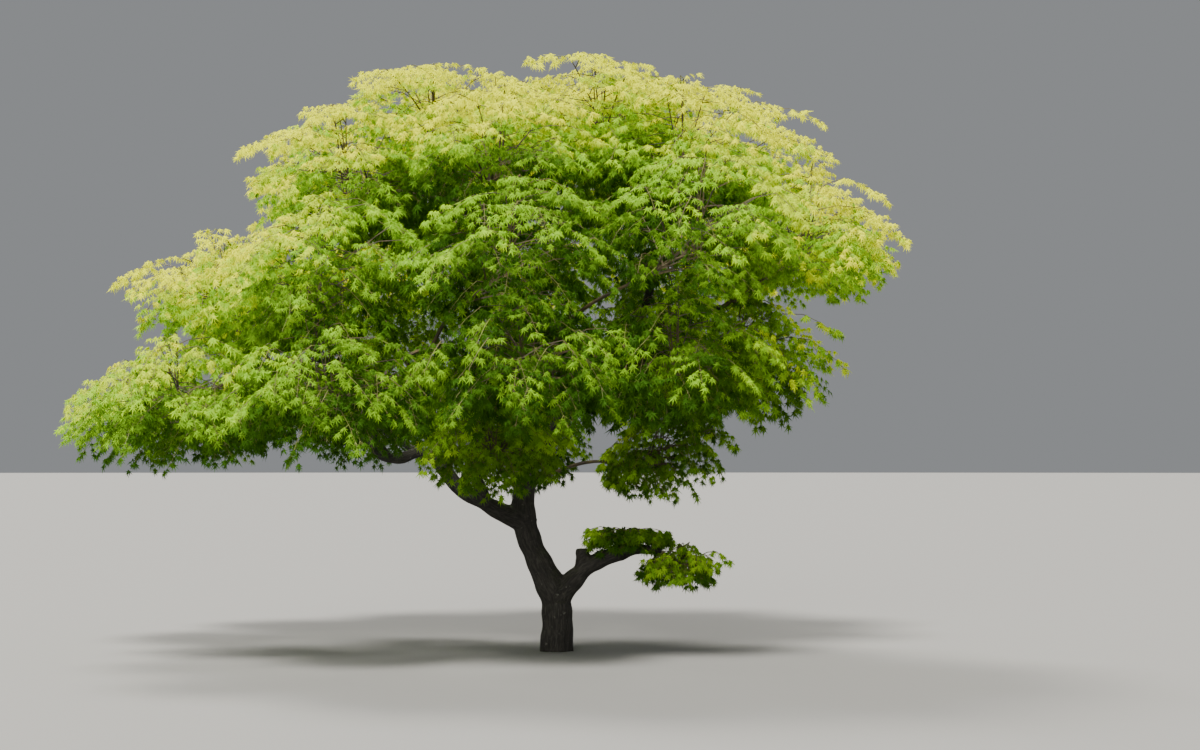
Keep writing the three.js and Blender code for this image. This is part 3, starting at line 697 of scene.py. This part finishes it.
def spray_light_and_age(leaves, youth):
    """How light and yellow a tint each spray gets, by its distance from the crown's shaded front, its light
    and its youth: partly how far it has turned from green to yellow, partly painted light and shade."""
    middles, sun, openness = spray_light(leaves, len(youth))
    rise = SHADE_HEAD - SHADE_FOOT
    along = np.clip((middles[:, 2] - SHADE_FOOT[2]) / rise[2], 0, 1)[:, None]
    # Distance from the line of painted shade on the crown's front
    x, y, z = (middles - SHADE_FOOT - rise * along).T
    outer = np.sqrt((np.where(x < 0, SHADE_LEFT, 1) * x) ** 2 + (SHADE_BACK * np.maximum(y, 0)) ** 2
                    + (np.where(z > 0, SHADE_ABOVE, SHADE_BELOW) * z) ** 2)
    rim = np.clip((outer - SHADE_REACH[0]) / (SHADE_REACH[1] - SHADE_REACH[0]), 0, 1)
    low = np.clip((LOW_SHADE_HEIGHT - middles[:, 2]) / LOW_SHADE_DEPTH, 0, 1)
    rim = rim * rim * (3 - 2 * rim) * (1 - LOW_SHADE * low)
    spread = np.random.default_rng(SEED + 1).normal(0, AGE_SPREAD, len(youth))
    return RIM_WEIGHT * rim + OPEN_WEIGHT * openness + SUN_WEIGHT * sun + youth + spread


def leaf_tints(light_and_ages, spray, tints):
    """The number of each leaf's tint, by its spray's painted light and age, with about as many leaves in
    every tint.
    """
    counts = np.bincount(spray, minlength=len(light_and_ages))
    order = np.argsort(light_and_ages)
    rank = np.empty(len(light_and_ages))
    rank[order] = np.cumsum(counts[order]) / counts.sum()
    return np.minimum((rank * tints).astype(int), tints - 1)[spray]


def leaf_blades(leaves, corners):
    """The corners of every leaf in its place, from the outline's corners."""
    turn, droop, roll = leaves["turn"], leaves["droop"], leaves["roll"]
    flat_out = np.stack([np.cos(turn), np.sin(turn), np.zeros_like(turn)], 1)
    level = np.stack([-np.sin(turn), np.cos(turn), np.zeros_like(turn)], 1)
    forward = flat_out * np.cos(droop)[:, None] - UP * np.sin(droop)[:, None]
    upward = flat_out * np.sin(droop)[:, None] + UP * np.cos(droop)[:, None]
    sideways = level * np.cos(roll)[:, None] + upward * np.sin(roll)[:, None]
    normal = upward * np.cos(roll)[:, None] - level * np.sin(roll)[:, None]
    heart = leaves["node"] + flat_out * LEAF_STALK * leaves["size"][:, None]
    axes = np.stack([forward, sideways, normal], 1)
    return heart[:, None] + leaves["size"][:, None, None] * np.einsum("cj,njk->nck", corners, axes)


# Materials


class Value:
    """A socket in a material, which Python's operators turn into Math nodes."""

    def __init__(self, shader, socket):
        self.shader = shader
        self.socket = socket

    def math(self, operation, *others):
        """A Math node on this value and others."""
        inputs = dict(enumerate((self, *others)))
        return self.shader.node("ShaderNodeMath", {"operation": operation}, inputs)

    def __add__(self, other):
        return self.math("ADD", other)

    def __mul__(self, other):
        return self.math("MULTIPLY", other)

    def __sub__(self, other):
        return self.math("SUBTRACT", other)

    def __rsub__(self, other):
        return self.shader.node("ShaderNodeMath", {"operation": "SUBTRACT"}, {0: other, 1: self})

    __radd__ = __add__
    __rmul__ = __mul__

    def between(self, low, high):
        """This value from low to high, as a smooth share from 0 to 1."""
        return self.shader.node("ShaderNodeMapRange", {"interpolation_type": "SMOOTHSTEP"},
                                {"Value": self, "From Min": low, "From Max": high})


class Shader:
    """A material under construction."""

    def __init__(self, name):
        self.material = bpy.data.materials.new(name)
        self.material.use_nodes = True
        self.tree = self.material.node_tree
        self.tree.nodes.clear()

    def node(self, kind, settings=None, inputs=None, output=0):
        """A node of a kind, with its settings made first and then its sockets' values or links."""
        node = self.tree.nodes.new(kind)
        for name, value in (settings or {}).items():
            setattr(node, name, value)
        for name, value in (inputs or {}).items():
            if isinstance(value, Value):
                self.tree.links.new(value.socket, node.inputs[name])
            else:
                node.inputs[name].default_value = value
        return Value(self, node.outputs[output])

    def noise(self, vector, scale, detail=4.0, roughness=0.55):
        """A noise pattern, from 0 to 1."""
        return self.node("ShaderNodeTexNoise", None,
                         {"Vector": vector, "Scale": scale, "Detail": detail, "Roughness": roughness}, "Fac")

    def blend(self, share, first, second):
        """A colour between two, by a share."""
        inputs = {0: share, 6: first, 7: second}
        return self.node("ShaderNodeMix", {"data_type": "RGBA"}, inputs, 2)

    def finish(self, surface):
        """The material, with its surface wired up."""
        output = self.tree.nodes.new("ShaderNodeOutputMaterial")
        self.tree.links.new(surface.socket, output.inputs["Surface"])
        return self.material


def opaque(colour):
    """A colour with full alpha."""
    return (*colour, 1.0)


def bark_material(look):
    """Smooth grey-brown bark with fine cracks along the limb, pale lichen and moss on its upper side, kept
    very dark: partly the bark's own dark colour and partly painted shade of the crown.
    """
    shader = Shader("maple_bark")
    place = shader.node("ShaderNodeTexCoord", output="Object")
    grain = shader.node("ShaderNodeAttribute", {"attribute_name": "grain"}, output="Vector")
    stretched = shader.node("ShaderNodeMapping", None, {"Vector": grain, "Scale": (1, 1, 0.16)})
    streaks = shader.noise(stretched, 42, 5, 0.6)
    cracks = shader.noise(stretched, 90, 3, 0.5).between(0.44, 0.56)
    patches = shader.noise(place, 9, 4, 0.6)
    lichen = shader.noise(place, 26, 5, 0.62).between(0.6, 0.7) * patches.between(0.45, 0.62)
    facing = shader.node("ShaderNodeSeparateXYZ", None,
                         {"Vector": shader.node("ShaderNodeNewGeometry", output="Normal")}, "Z")
    moss = facing.between(0.1, 0.9) * shader.noise(place, 14, 4, 0.6).between(0.42, 0.66)
    colour = shader.blend(streaks.between(0.3, 0.7), opaque(look.shaded_bark_dark), opaque(look.shaded_bark_light))
    colour = shader.blend((1 - cracks) * 0.7, colour, opaque([c * 0.35 for c in look.shaded_bark_dark]))
    colour = shader.blend(lichen * 0.6, colour, opaque(look.lichen))
    colour = shader.blend(moss * 0.55, colour, opaque(look.moss))
    height = streaks * 0.6 + cracks * 0.4 + lichen * 0.25 + moss * shader.noise(place, 160, 2, 0.5) * 0.4
    bump = shader.node("ShaderNodeBump", None, {"Height": height, "Strength": 0.7, "Distance": 0.008})
    surface = shader.node("ShaderNodeBsdfPrincipled", None,
                          {"Base Color": colour, "Roughness": 0.95 - 0.25 * streaks, "Normal": bump})
    return shader.finish(surface)


def twig_material(name, first, second):
    """Twigs of a certain age, in patches of two colours."""
    shader = Shader(name)
    place = shader.node("ShaderNodeTexCoord", output="Object")
    colour = shader.blend(shader.noise(place, 7, 3).between(0.35, 0.65), opaque(first), opaque(second))
    surface = shader.node("ShaderNodeBsdfPrincipled", None, {"Base Color": colour, "Roughness": 0.7})
    return shader.finish(surface)


def tint_colour(look, share):
    """A leaf's colour from shade through half shade to sun, by a share."""
    if share < GREEN_SHARE:
        ends, part = (look.shade, look.middle), share / GREEN_SHARE
    else:
        ends, part = (look.middle, look.sun), (share - GREEN_SHARE) / (1 - GREEN_SHARE)
    return [mix(a, b, part) for a, b in zip(*ends)]


def leaf_material(name, colour, glow):
    """A thin leaf in one plain colour that also lets light through."""
    shader = Shader(name)
    face = shader.node("ShaderNodeBsdfPrincipled", None,
                       {"Base Color": opaque(colour), "Roughness": 0.6, "Specular IOR Level": 0.04})
    through = [min(1.0, colour[0] * 1.15), min(1.0, colour[1] * 1.1), colour[2] * 0.6]
    back = shader.node("ShaderNodeBsdfTranslucent", None, {"Color": opaque(through)})
    surface = shader.node("ShaderNodeMixShader", None, {0: glow, 1: face, 2: back})
    return shader.finish(surface)


def floor_material(colour):
    """A plain matt floor."""
    shader = Shader("stage_floor")
    surface = shader.node("ShaderNodeBsdfPrincipled", None, {"Base Color": opaque(colour), "Roughness": 0.9})
    return shader.finish(surface)


# Meshes


def shown(name, mesh, material, replaced=(), smooth=False):
    """A finished piece: in the scene, riding on the tree's one body, in place of the nodes it stands for."""
    piece = bpy.data.objects.new(name, mesh)
    bpy.context.scene.collection.objects.link(piece)
    mesh.materials.clear()
    mesh.materials.append(material)
    mesh.polygons.foreach_set("use_smooth", np.full(len(mesh.polygons), smooth))
    mesh.update()
    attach(piece, "root")
    if replaced:
        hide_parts(*replaced)
    return piece


def array_mesh(name, points, triangles):
    """A joined mesh from arrays of points and triangles."""
    mesh = bpy.data.meshes.new(name)
    mesh.vertices.add(len(points))
    mesh.vertices.foreach_set("co", np.asarray(points, np.float32).ravel())
    mesh.loops.add(triangles.size)
    mesh.loops.foreach_set("vertex_index", np.asarray(triangles, np.int32).ravel())
    mesh.polygons.add(len(triangles))
    mesh.polygons.foreach_set("loop_start", np.arange(0, triangles.size, 3, dtype=np.int32))
    mesh.update(calc_edges=True)
    return mesh


def tubes(lines, radii, sides, pointed=False):
    """Closed tapering tubes as one set of arrays, from equal-length lines and the radius at each of their
    points. Pointed ones of two points are cones."""
    count, rings = lines.shape[:2]
    along = lines[:, -1] - lines[:, 0]
    along /= np.linalg.norm(along, axis=1)[:, None]
    helper = np.where(np.abs(along[:, 2:]) > 0.9, vec(1, 0, 0), UP)
    side = np.cross(helper, along)
    side /= np.linalg.norm(side, axis=1)[:, None]
    across = np.cross(along, side)
    angles = np.arange(sides) / sides * 2 * math.pi
    spokes = (side[:, None] * np.cos(angles)[:, None] + across[:, None] * np.sin(angles)[:, None])
    points = lines[:, :, None] + radii[:, :, None, None] * spokes[:, None]
    fan = np.arange(1, sides - 1)
    zero = np.zeros_like(fan)
    near_cap = np.stack([zero, fan + 1, fan], 1)
    if pointed:
        points = np.concatenate([points[:, 0], lines[:, -1:]], axis=1)
        k = np.arange(sides)
        faces = np.concatenate([np.stack([k, (k + 1) % sides, np.full(sides, sides)], 1), near_cap])
    else:
        ring, k = np.meshgrid(np.arange(rings - 1), np.arange(sides), indexing="ij")
        a = (ring * sides + k).ravel()
        b = (ring * sides + (k + 1) % sides).ravel()
        last = (rings - 1) * sides
        faces = np.concatenate([np.stack([a, b, b + sides], 1), np.stack([a, b + sides, a + sides], 1),
                                near_cap, np.stack([zero + last, fan + last, fan + 1 + last], 1)])
    offsets = np.arange(count) * (points.size // (3 * count))
    return points.reshape(-1, 3), (faces[None] + offsets[:, None, None]).reshape(-1, 3)


def joined(parts):
    """Several sets of points and triangles as one."""
    points, triangles, start = [], [], 0
    for these_points, these_triangles in parts:
        points.append(these_points)
        triangles.append(these_triangles + start)
        start += len(these_points)
    return np.concatenate(points), np.concatenate(triangles)


def ring_matrix(centre, ahead, side, across, radius):
    """The place, turn and size of one ring of a limb."""
    axes = np.stack([side * radius, across * radius, ahead * radius, centre], 1) * MM
    return Matrix([*axes.tolist(), [0, 0, 0, 1]])


# How far limbs flare where they leave their parents, as shares of their radius
BOUGH_COLLAR = 0.28
OUTER_COLLAR = 0.35
STUMP_COLLAR = 0.2


def swept(bm, limb, sides, steps, collar=0.0):
    """Sweeps a ring along a limb, with a collar where it leaves its parent, and caps both ends."""
    shares = np.linspace(0, 1, steps + 1)
    length = np.linalg.norm(np.diff(limb.along(shares), axis=0), axis=1).sum()
    seed = sum(map(ord, limb.name))
    edges, place, rings = None, None, []
    for share, (centre, ahead, side, across) in zip(shares, limb.frames(shares)):
        flare = collar * math.exp(-share * length / (2.2 * limb.root_radius))
        swell = 0.05 * math.sin(share * length / 95 + seed) + 0.03 * math.sin(share * length / 41 + 2 * seed)
        matrix = ring_matrix(centre, ahead, side, across, limb.radius(share) * (1 + flare + swell))
        if edges is None:
            verts = bmesh.ops.create_circle(bm, segments=sides, radius=1)["verts"]
            bmesh.ops.transform(bm, matrix=matrix, verts=verts)
            edges = list(dict.fromkeys(edge for vert in verts for edge in vert.link_edges))
            bmesh.ops.contextual_create(bm, geom=edges)
        else:
            made = bmesh.ops.extrude_edge_only(bm, edges=edges)["geom"]
            verts = [item for item in made if isinstance(item, bmesh.types.BMVert)]
            fresh = set(verts)
            edges = [item for item in made
                     if isinstance(item, bmesh.types.BMEdge) and set(item.verts) <= fresh]
            bmesh.ops.transform(bm, matrix=matrix @ place.inverted(), verts=verts)
        rings.append((verts, centre, Vector(side), Vector(across)))
        place = matrix
    bmesh.ops.contextual_create(bm, geom=edges)
    for verts, centre, side, across in rings if limb.relief else ():
        middle = Vector(centre) * MM
        for vert in verts:
            spoke = vert.co - middle
            vert.co = middle + spoke * limb.relief(centre[2], math.atan2(spoke.dot(across), spoke.dot(side)))


def limb_grain(limbs, points):
    """For each point, its place across and along the nearest limb, and that limb's radius there."""
    samples = []
    for limb in limbs:
        shares = np.linspace(0, 1, 90)
        line = limb.along(shares) * MM
        run = np.concatenate([[0], np.cumsum(np.linalg.norm(np.diff(line, axis=0), axis=1))])
        for share, start, (centre, ahead, side, across) in zip(shares, run, limb.frames(shares)):
            samples.append((centre * MM, ahead, side, across, start, limb.radius(share) * MM))
    tree = kdtree.KDTree(len(samples))
    for i, sample in enumerate(samples):
        tree.insert(sample[0], i)
    tree.balance()
    nearest = np.array([tree.find(point)[1] for point in points])
    centre, ahead, side, across = (np.array([sample[i] for sample in samples])[nearest] for i in range(4))
    run, radius = (np.array([sample[i] for sample in samples])[nearest] for i in (4, 5))
    away = points - centre
    grain = np.stack([(away * side).sum(1), (away * across).sum(1), run + (away * ahead).sum(1)], 1)
    return grain, radius


# Depth in metres of the ridges and lumps on the outer limbs
OUTER_RELIEF = 0.01


def roughen(mesh, limbs, depth):
    """Moves the surface by ridges that run along each limb and by lumps, and keeps the grain for the bark."""
    count = len(mesh.vertices)
    points = np.empty(count * 3, np.float32)
    normals = np.empty(count * 3, np.float32)
    mesh.vertices.foreach_get("co", points)
    mesh.vertices.foreach_get("normal", normals)
    points, normals = points.reshape(-1, 3).astype(float), normals.reshape(-1, 3)
    grain, radius = limb_grain(limbs, points)
    ridges = np.array([noise.noise((a * 22, b * 22, s * 3.2)) for a, b, s in grain])
    lumps = np.array([noise.noise((x * 6.5, y * 6.5, z * 6.5)) for x, y, z in points])
    fine = np.array([noise.noise((a * 60, b * 60, s * 12)) for a, b, s in grain])
    share = np.clip(radius / 0.1, 0.15, 1)
    points += normals * ((1.0 * ridges + 1.3 * lumps + 0.3 * fine) * depth * share)[:, None]
    points[:, 2] = np.maximum(points[:, 2], 0)
    mesh.vertices.foreach_set("co", points.astype(np.float32).ravel())
    attribute = mesh.attributes.new("grain", "FLOAT_VECTOR", "POINT")
    attribute.data.foreach_set("vector", grain.astype(np.float32).ravel())
    mesh.update()


def fused_wood(voxel):
    """The trunk and the main boughs swept, fused by remeshing, cut flat at the ground and smoothed."""
    bm = bmesh.new()
    for limb in MAIN_WOOD:
        swept(bm, limb, 20, 60 if limb is TRUNK else 40, 0 if limb is TRUNK else BOUGH_COLLAR)
    swept(bm, STUMP, 18, 6, STUMP_COLLAR)
    bmesh.ops.recalc_face_normals(bm, faces=bm.faces)
    mesh = bpy.data.meshes.new("wood_sweep")
    bm.to_mesh(mesh)
    bm.free()
    sweep = bpy.data.objects.new("wood_sweep", mesh)
    bpy.context.scene.collection.objects.link(sweep)
    remesh = sweep.modifiers.new("fuse", "REMESH")
    remesh.mode = "VOXEL"
    remesh.voxel_size = voxel
    remesh.adaptivity = 0
    graph = bpy.context.evaluated_depsgraph_get()
    fused = bpy.data.meshes.new_from_object(sweep.evaluated_get(graph))
    bpy.data.objects.remove(sweep)
    bm = bmesh.new()
    bm.from_mesh(fused)
    cut = bmesh.ops.bisect_plane(bm, geom=[*bm.verts, *bm.edges, *bm.faces], plane_co=(0, 0, 0),
                                 plane_no=(0, 0, -1), clear_outer=True)["geom_cut"]
    rim = [item for item in cut if isinstance(item, bmesh.types.BMEdge)]
    for _ in range(4):
        free = [vert for vert in bm.verts if vert.co.z > 1e-4]
        bmesh.ops.smooth_vert(bm, verts=free, factor=0.5, use_axis_x=True, use_axis_y=True, use_axis_z=True)
    bmesh.ops.contextual_create(bm, geom=rim)
    bmesh.ops.triangulate(bm, faces=bm.faces)
    bm.to_mesh(fused)
    bm.free()
    return fused


def branch_arrays(twigs, side_twigs):
    """The masses' stems and the coarser twigs, as one set of points and triangles."""
    shares = np.linspace(0, 1, 15)
    stems = np.array([mass.stem.along(shares) for mass in MASSES]) * MM
    stem_radii = np.array([[mass.stem.radius(t) for t in shares] for mass in MASSES]) * MM
    parts = [tubes(stems, stem_radii, 6)]
    for group in (twigs, side_twigs):
        lines = np.array([line for line, _, _ in group]) * MM
        radii = np.array([np.linspace(a, b, len(line)) for line, a, b in group]) * MM
        parts.append(tubes(lines, radii, 3))
    return joined(parts)


def twig_arrays(pads, spray_ends):
    """The fans' main twigs and the finest ones, as one set of points and triangles."""
    flat = np.stack([np.linspace(0, 0.9, 3), np.zeros(3)], 1)
    mains = np.array([pad.place(flat) for pad in pads]) * MM
    main_radii = np.tile(np.linspace(*FAN_TWIG_RADII, 3) * MM, (len(pads), 1))
    spray_radii = np.tile(vec(*SPRAY_TWIG_RADII) * MM, (len(spray_ends), 1))
    return joined([tubes(mains, main_radii, 3), tubes(spray_ends, spray_radii, 3, pointed=True)])


# Sizes and colours that a user would change


def colour_setting(name, description, *default):
    """A colour that a user can change."""
    return FloatVectorProperty(name=name, description=description, default=default, size=3, subtype="COLOR")


def length_setting(name, description, default, least=0.0):
    """A length in metres that a user can change."""
    return FloatProperty(name=name, description=description, default=default, min=least, unit="LENGTH")


def strength_setting(name, description, default):
    """A strength of light that a user can change."""
    return FloatProperty(name=name, description=description, default=default, min=0)


class MapleWoodSettings(bpy.types.PropertyGroup):
    """The wood's relief and colours."""

    voxel: length_setting("Remesh size", "Size of the cells that fuse the limbs together", 0.013, 0.006)
    relief: length_setting("Bark relief", "Depth of the ridges and lumps on the thickest wood", 0.008)
    # Both bark colours are kept very dark, partly as the bark's own colour and partly as painted shade under
    # the crown
    shaded_bark_dark: colour_setting("Dark bark", "Colour of the bark in its hollows", 0.012, 0.0105, 0.008)
    shaded_bark_light: colour_setting("Pale bark", "Colour of the bark on its ridges", 0.034, 0.031, 0.025)
    lichen: colour_setting("Lichen", "Colour of the lichen patches", 0.2, 0.2, 0.165)
    moss: colour_setting("Moss", "Colour of the moss on upper sides", 0.045, 0.06, 0.018)
    twig_old: colour_setting("Old twig", "Colour of the older twigs", 0.05, 0.04, 0.028)
    twig_middle: colour_setting("Twig", "Colour of the twigs between old and young", 0.1, 0.075, 0.03)
    twig_young: colour_setting("Young twig", "Colour of the youngest, green twigs", 0.16, 0.19, 0.03)


class MapleLeafSettings(bpy.types.PropertyGroup):
    """The leaves' size, number and colours."""

    twig_spacing: length_setting("Twig spacing", "Distance between the pairs of finest twigs", 0.095, 0.05)
    spacing: length_setting("Leaf spacing", "Distance between the pairs of leaves on a twig", 0.064, 0.03)
    length: length_setting("Leaf length", "Length of a leaf's middle lobe", 0.062, 0.02)
    tints: IntProperty(name="Tints", description="Number of leaf colours between shade and sun",
                       default=9, min=2)
    glow: FloatProperty(name="Light through leaves",
                        description="Share of the light that passes through a leaf",
                        default=0.43, min=0, max=1, subtype="FACTOR")
    # The leaf colours carry painted light: the pale sun colour and the dark shade colour stand partly for
    # yellow sun leaves and green shade leaves, partly for painted sunlight and painted shade
    sun: colour_setting("Leaf in sun", "Colour of the young leaves in full sun", 0.75, 0.79, 0.006)
    middle: colour_setting("Leaf in half shade", "Colour of the leaves in half shade", 0.32, 0.6, 0.024)
    shade: colour_setting("Leaf in shade", "Colour of the leaves deep in the crown", 0.05, 0.135, 0.011)


class MapleStageSettings(bpy.types.PropertyGroup):
    """The floor, the light and the camera."""

    floor: colour_setting("Floor", "Colour of the floor", 0.2, 0.2, 0.196)
    sky: colour_setting("Surround", "Colour of the light from all round", 0.8, 0.83, 0.86)
    sky_strength: strength_setting("Surround strength", "Strength of the light from all round", 0.32)
    key_strength: strength_setting("Key strength", "Strength of the sun, behind the tree on the left", 4.4)
    fill_strength: strength_setting("Fill strength", "Strength of the soft light from above the front", 9.0)
    front_strength: strength_setting("Front strength", "Strength of the soft light from the front", 1.4)
    lens: FloatProperty(name="Lens", description="Focal length of the camera in millimetres",
                        default=68.6, min=10, unit="CAMERA")
    distance: length_setting("Camera distance", "How far in front of the trunk the camera stands", 22.0, 1)
    eye_height: length_setting("Camera height", "Height of the camera over the ground", 1.8)


# Operators


class MAPLE_OT_wood(bpy.types.Operator):
    """Build the trunk and the main boughs as one fused surface with the bark's relief"""

    bl_idname = "maple.wood"
    bl_label = "Trunk and Boughs"

    def execute(self, context):
        look = context.scene.maple_wood
        mesh = fused_wood(look.voxel)
        roughen(mesh, MAIN_WOOD, look.relief)
        shown("maple_wood", mesh, bark_material(look), [limb.name for limb in MAIN_WOOD], smooth=True)
        return {"FINISHED"}


class MAPLE_OT_outer_limbs(bpy.types.Operator):
    """Build the outer and upper limbs that carry the masses of foliage"""

    bl_idname = "maple.outer_limbs"
    bl_label = "Outer Limbs"

    def execute(self, context):
        bm = bmesh.new()
        for limb in OUTER_WOOD:
            swept(bm, limb, 10, 26, OUTER_COLLAR)
        bmesh.ops.recalc_face_normals(bm, faces=bm.faces)
        bmesh.ops.triangulate(bm, faces=bm.faces)
        mesh = bpy.data.meshes.new("maple_outer_limbs")
        bm.to_mesh(mesh)
        bm.free()
        roughen(mesh, OUTER_WOOD, OUTER_RELIEF)
        shown("maple_outer_limbs", mesh, bpy.data.materials["maple_bark"],
              [limb.name for limb in OUTER_WOOD], smooth=True)
        return {"FINISHED"}


class MAPLE_OT_foliage(bpy.types.Operator):
    """Grow the twigs and leaves of every mass, joined by kind and by tint"""

    bl_idname = "maple.foliage"
    bl_label = "Twigs and Leaves"

    def execute(self, context):
        look, wood = context.scene.maple_leaves, context.scene.maple_wood
        twigs, side_twigs, pads = grow()
        spray_ends, leaves, youth = sprays(pads, look.twig_spacing, look.spacing, look.length)
        names = [mass.name for mass in MASSES]
        for name, arrays, colours in (
                ("maple_branches", branch_arrays(twigs, side_twigs), (wood.twig_old, wood.twig_middle)),
                ("maple_twigs", twig_arrays(pads, spray_ends), (wood.twig_middle, wood.twig_young))):
            shown(name, array_mesh(name, *arrays), twig_material(name, *colours), names)
        # The leaves' tints carry painted light and shade as well as their age
        tint = leaf_tints(spray_light_and_age(leaves, youth), leaves["spray"], look.tints)
        corners, faces = leaf_outline()
        blades = leaf_blades(leaves, corners)
        for number in range(look.tints):
            chosen = blades[tint == number]
            offsets = np.arange(len(chosen))[:, None, None] * len(corners)
            name = f"maple_leaves_{number + 1}"
            mesh = array_mesh(name, chosen.reshape(-1, 3), (faces[None] + offsets).reshape(-1, 3))
            # Tints run from the dark colour of painted shade to the pale colour of painted sunlight
            colour = tint_colour(look, (number / (look.tints - 1)) ** TINT_CURVE)
            shown(name, mesh, leaf_material(name, colour, look.glow), names)
        return {"FINISHED"}


# The lamps: name, where the light comes from and how wide it is in degrees, and the colour of all three
LAMPS = (("key", SUN_SIDE, 16), ("fill", (-0.08, -0.6, 0.79), 14), ("front", (-0.2, -0.93, 0.3), 24))
LAMP_COLOUR = (1.0, 0.96, 0.88)
# The camera stands this far right of the trunk, in metres, and looks slightly up, in degrees
CAMERA_RIGHT = 0.423
CAMERA_TILT = 92.2
FLOOR_RADIUS = 400


class MAPLE_OT_stage(bpy.types.Operator):
    """Set up the floor, the light and the camera"""

    bl_idname = "maple.stage"
    bl_label = "Stage"

    def execute(self, context):
        look = context.scene.maple_stage
        bm = bmesh.new()
        bmesh.ops.create_circle(bm, cap_ends=True, segments=96, radius=FLOOR_RADIUS)
        mesh = bpy.data.meshes.new("stage_floor")
        bm.to_mesh(mesh)
        bm.free()
        floor = bpy.data.objects.new("stage_floor", mesh)
        mesh.materials.append(floor_material(look.floor))
        context.scene.collection.objects.link(floor)
        world = bpy.data.worlds.new("stage_world")
        context.scene.world = world
        world.use_nodes = True
        background = world.node_tree.nodes["Background"]
        background.inputs["Color"].default_value = opaque(look.sky)
        background.inputs["Strength"].default_value = look.sky_strength
        for name, towards, angle in LAMPS:
            lamp = bpy.data.lights.new(name, "SUN")
            lamp.energy = getattr(look, f"{name}_strength")
            lamp.angle = math.radians(angle)
            lamp.color = LAMP_COLOUR
            lamp_object = bpy.data.objects.new(name, lamp)
            lamp_object.rotation_euler = Vector(towards).to_track_quat("Z", "Y").to_euler()
            context.scene.collection.objects.link(lamp_object)
        camera = bpy.data.objects.new("camera", bpy.data.cameras.new("camera"))
        camera.data.lens = look.lens
        camera.data.sensor_width = 36
        camera.data.clip_end = 1000
        camera.location = (CAMERA_RIGHT, -look.distance, look.eye_height)
        camera.rotation_euler = (math.radians(CAMERA_TILT), 0, 0)
        context.scene.collection.objects.link(camera)
        context.scene.camera = camera
        return {"FINISHED"}


OPERATORS = (MAPLE_OT_wood, MAPLE_OT_outer_limbs, MAPLE_OT_foliage, MAPLE_OT_stage)
SETTINGS = {"maple_wood": MapleWoodSettings, "maple_leaves": MapleLeafSettings,
            "maple_stage": MapleStageSettings}


class MAPLE_PT_panel(bpy.types.Panel):
    """The steps that build the maple, with their settings"""

    bl_idname = "MAPLE_PT_panel"
    bl_label = "Japanese Maple"
    bl_space_type = "VIEW_3D"
    bl_region_type = "UI"
    bl_category = "Maple"

    def draw(self, context):
        for operator in OPERATORS:
            self.layout.operator(operator.bl_idname)
        for name, group in SETTINGS.items():
            box = self.layout.box()
            box.label(text=group.__doc__)
            for prop in group.__annotations__:
                box.prop(getattr(context.scene, name), prop)


CLASSES = (*SETTINGS.values(), *OPERATORS, MAPLE_PT_panel)


def register():
    """Adds the maple's settings, operators and panel to Blender."""
    for cls in CLASSES:
        bpy.utils.register_class(cls)
    for name, group in SETTINGS.items():
        setattr(bpy.types.Scene, name, PointerProperty(type=group))


def unregister():
    """Takes them out again."""
    for name in SETTINGS:
        delattr(bpy.types.Scene, name)
    for cls in reversed(CLASSES):
        bpy.utils.unregister_class(cls)


def main():
    """Builds the maple and its stage."""
    register()
    bpy.ops.maple.wood()
    bpy.ops.maple.outer_limbs()
    bpy.ops.maple.foliage()
    bpy.ops.maple.stage()


if __name__ == "__main__":
    main()
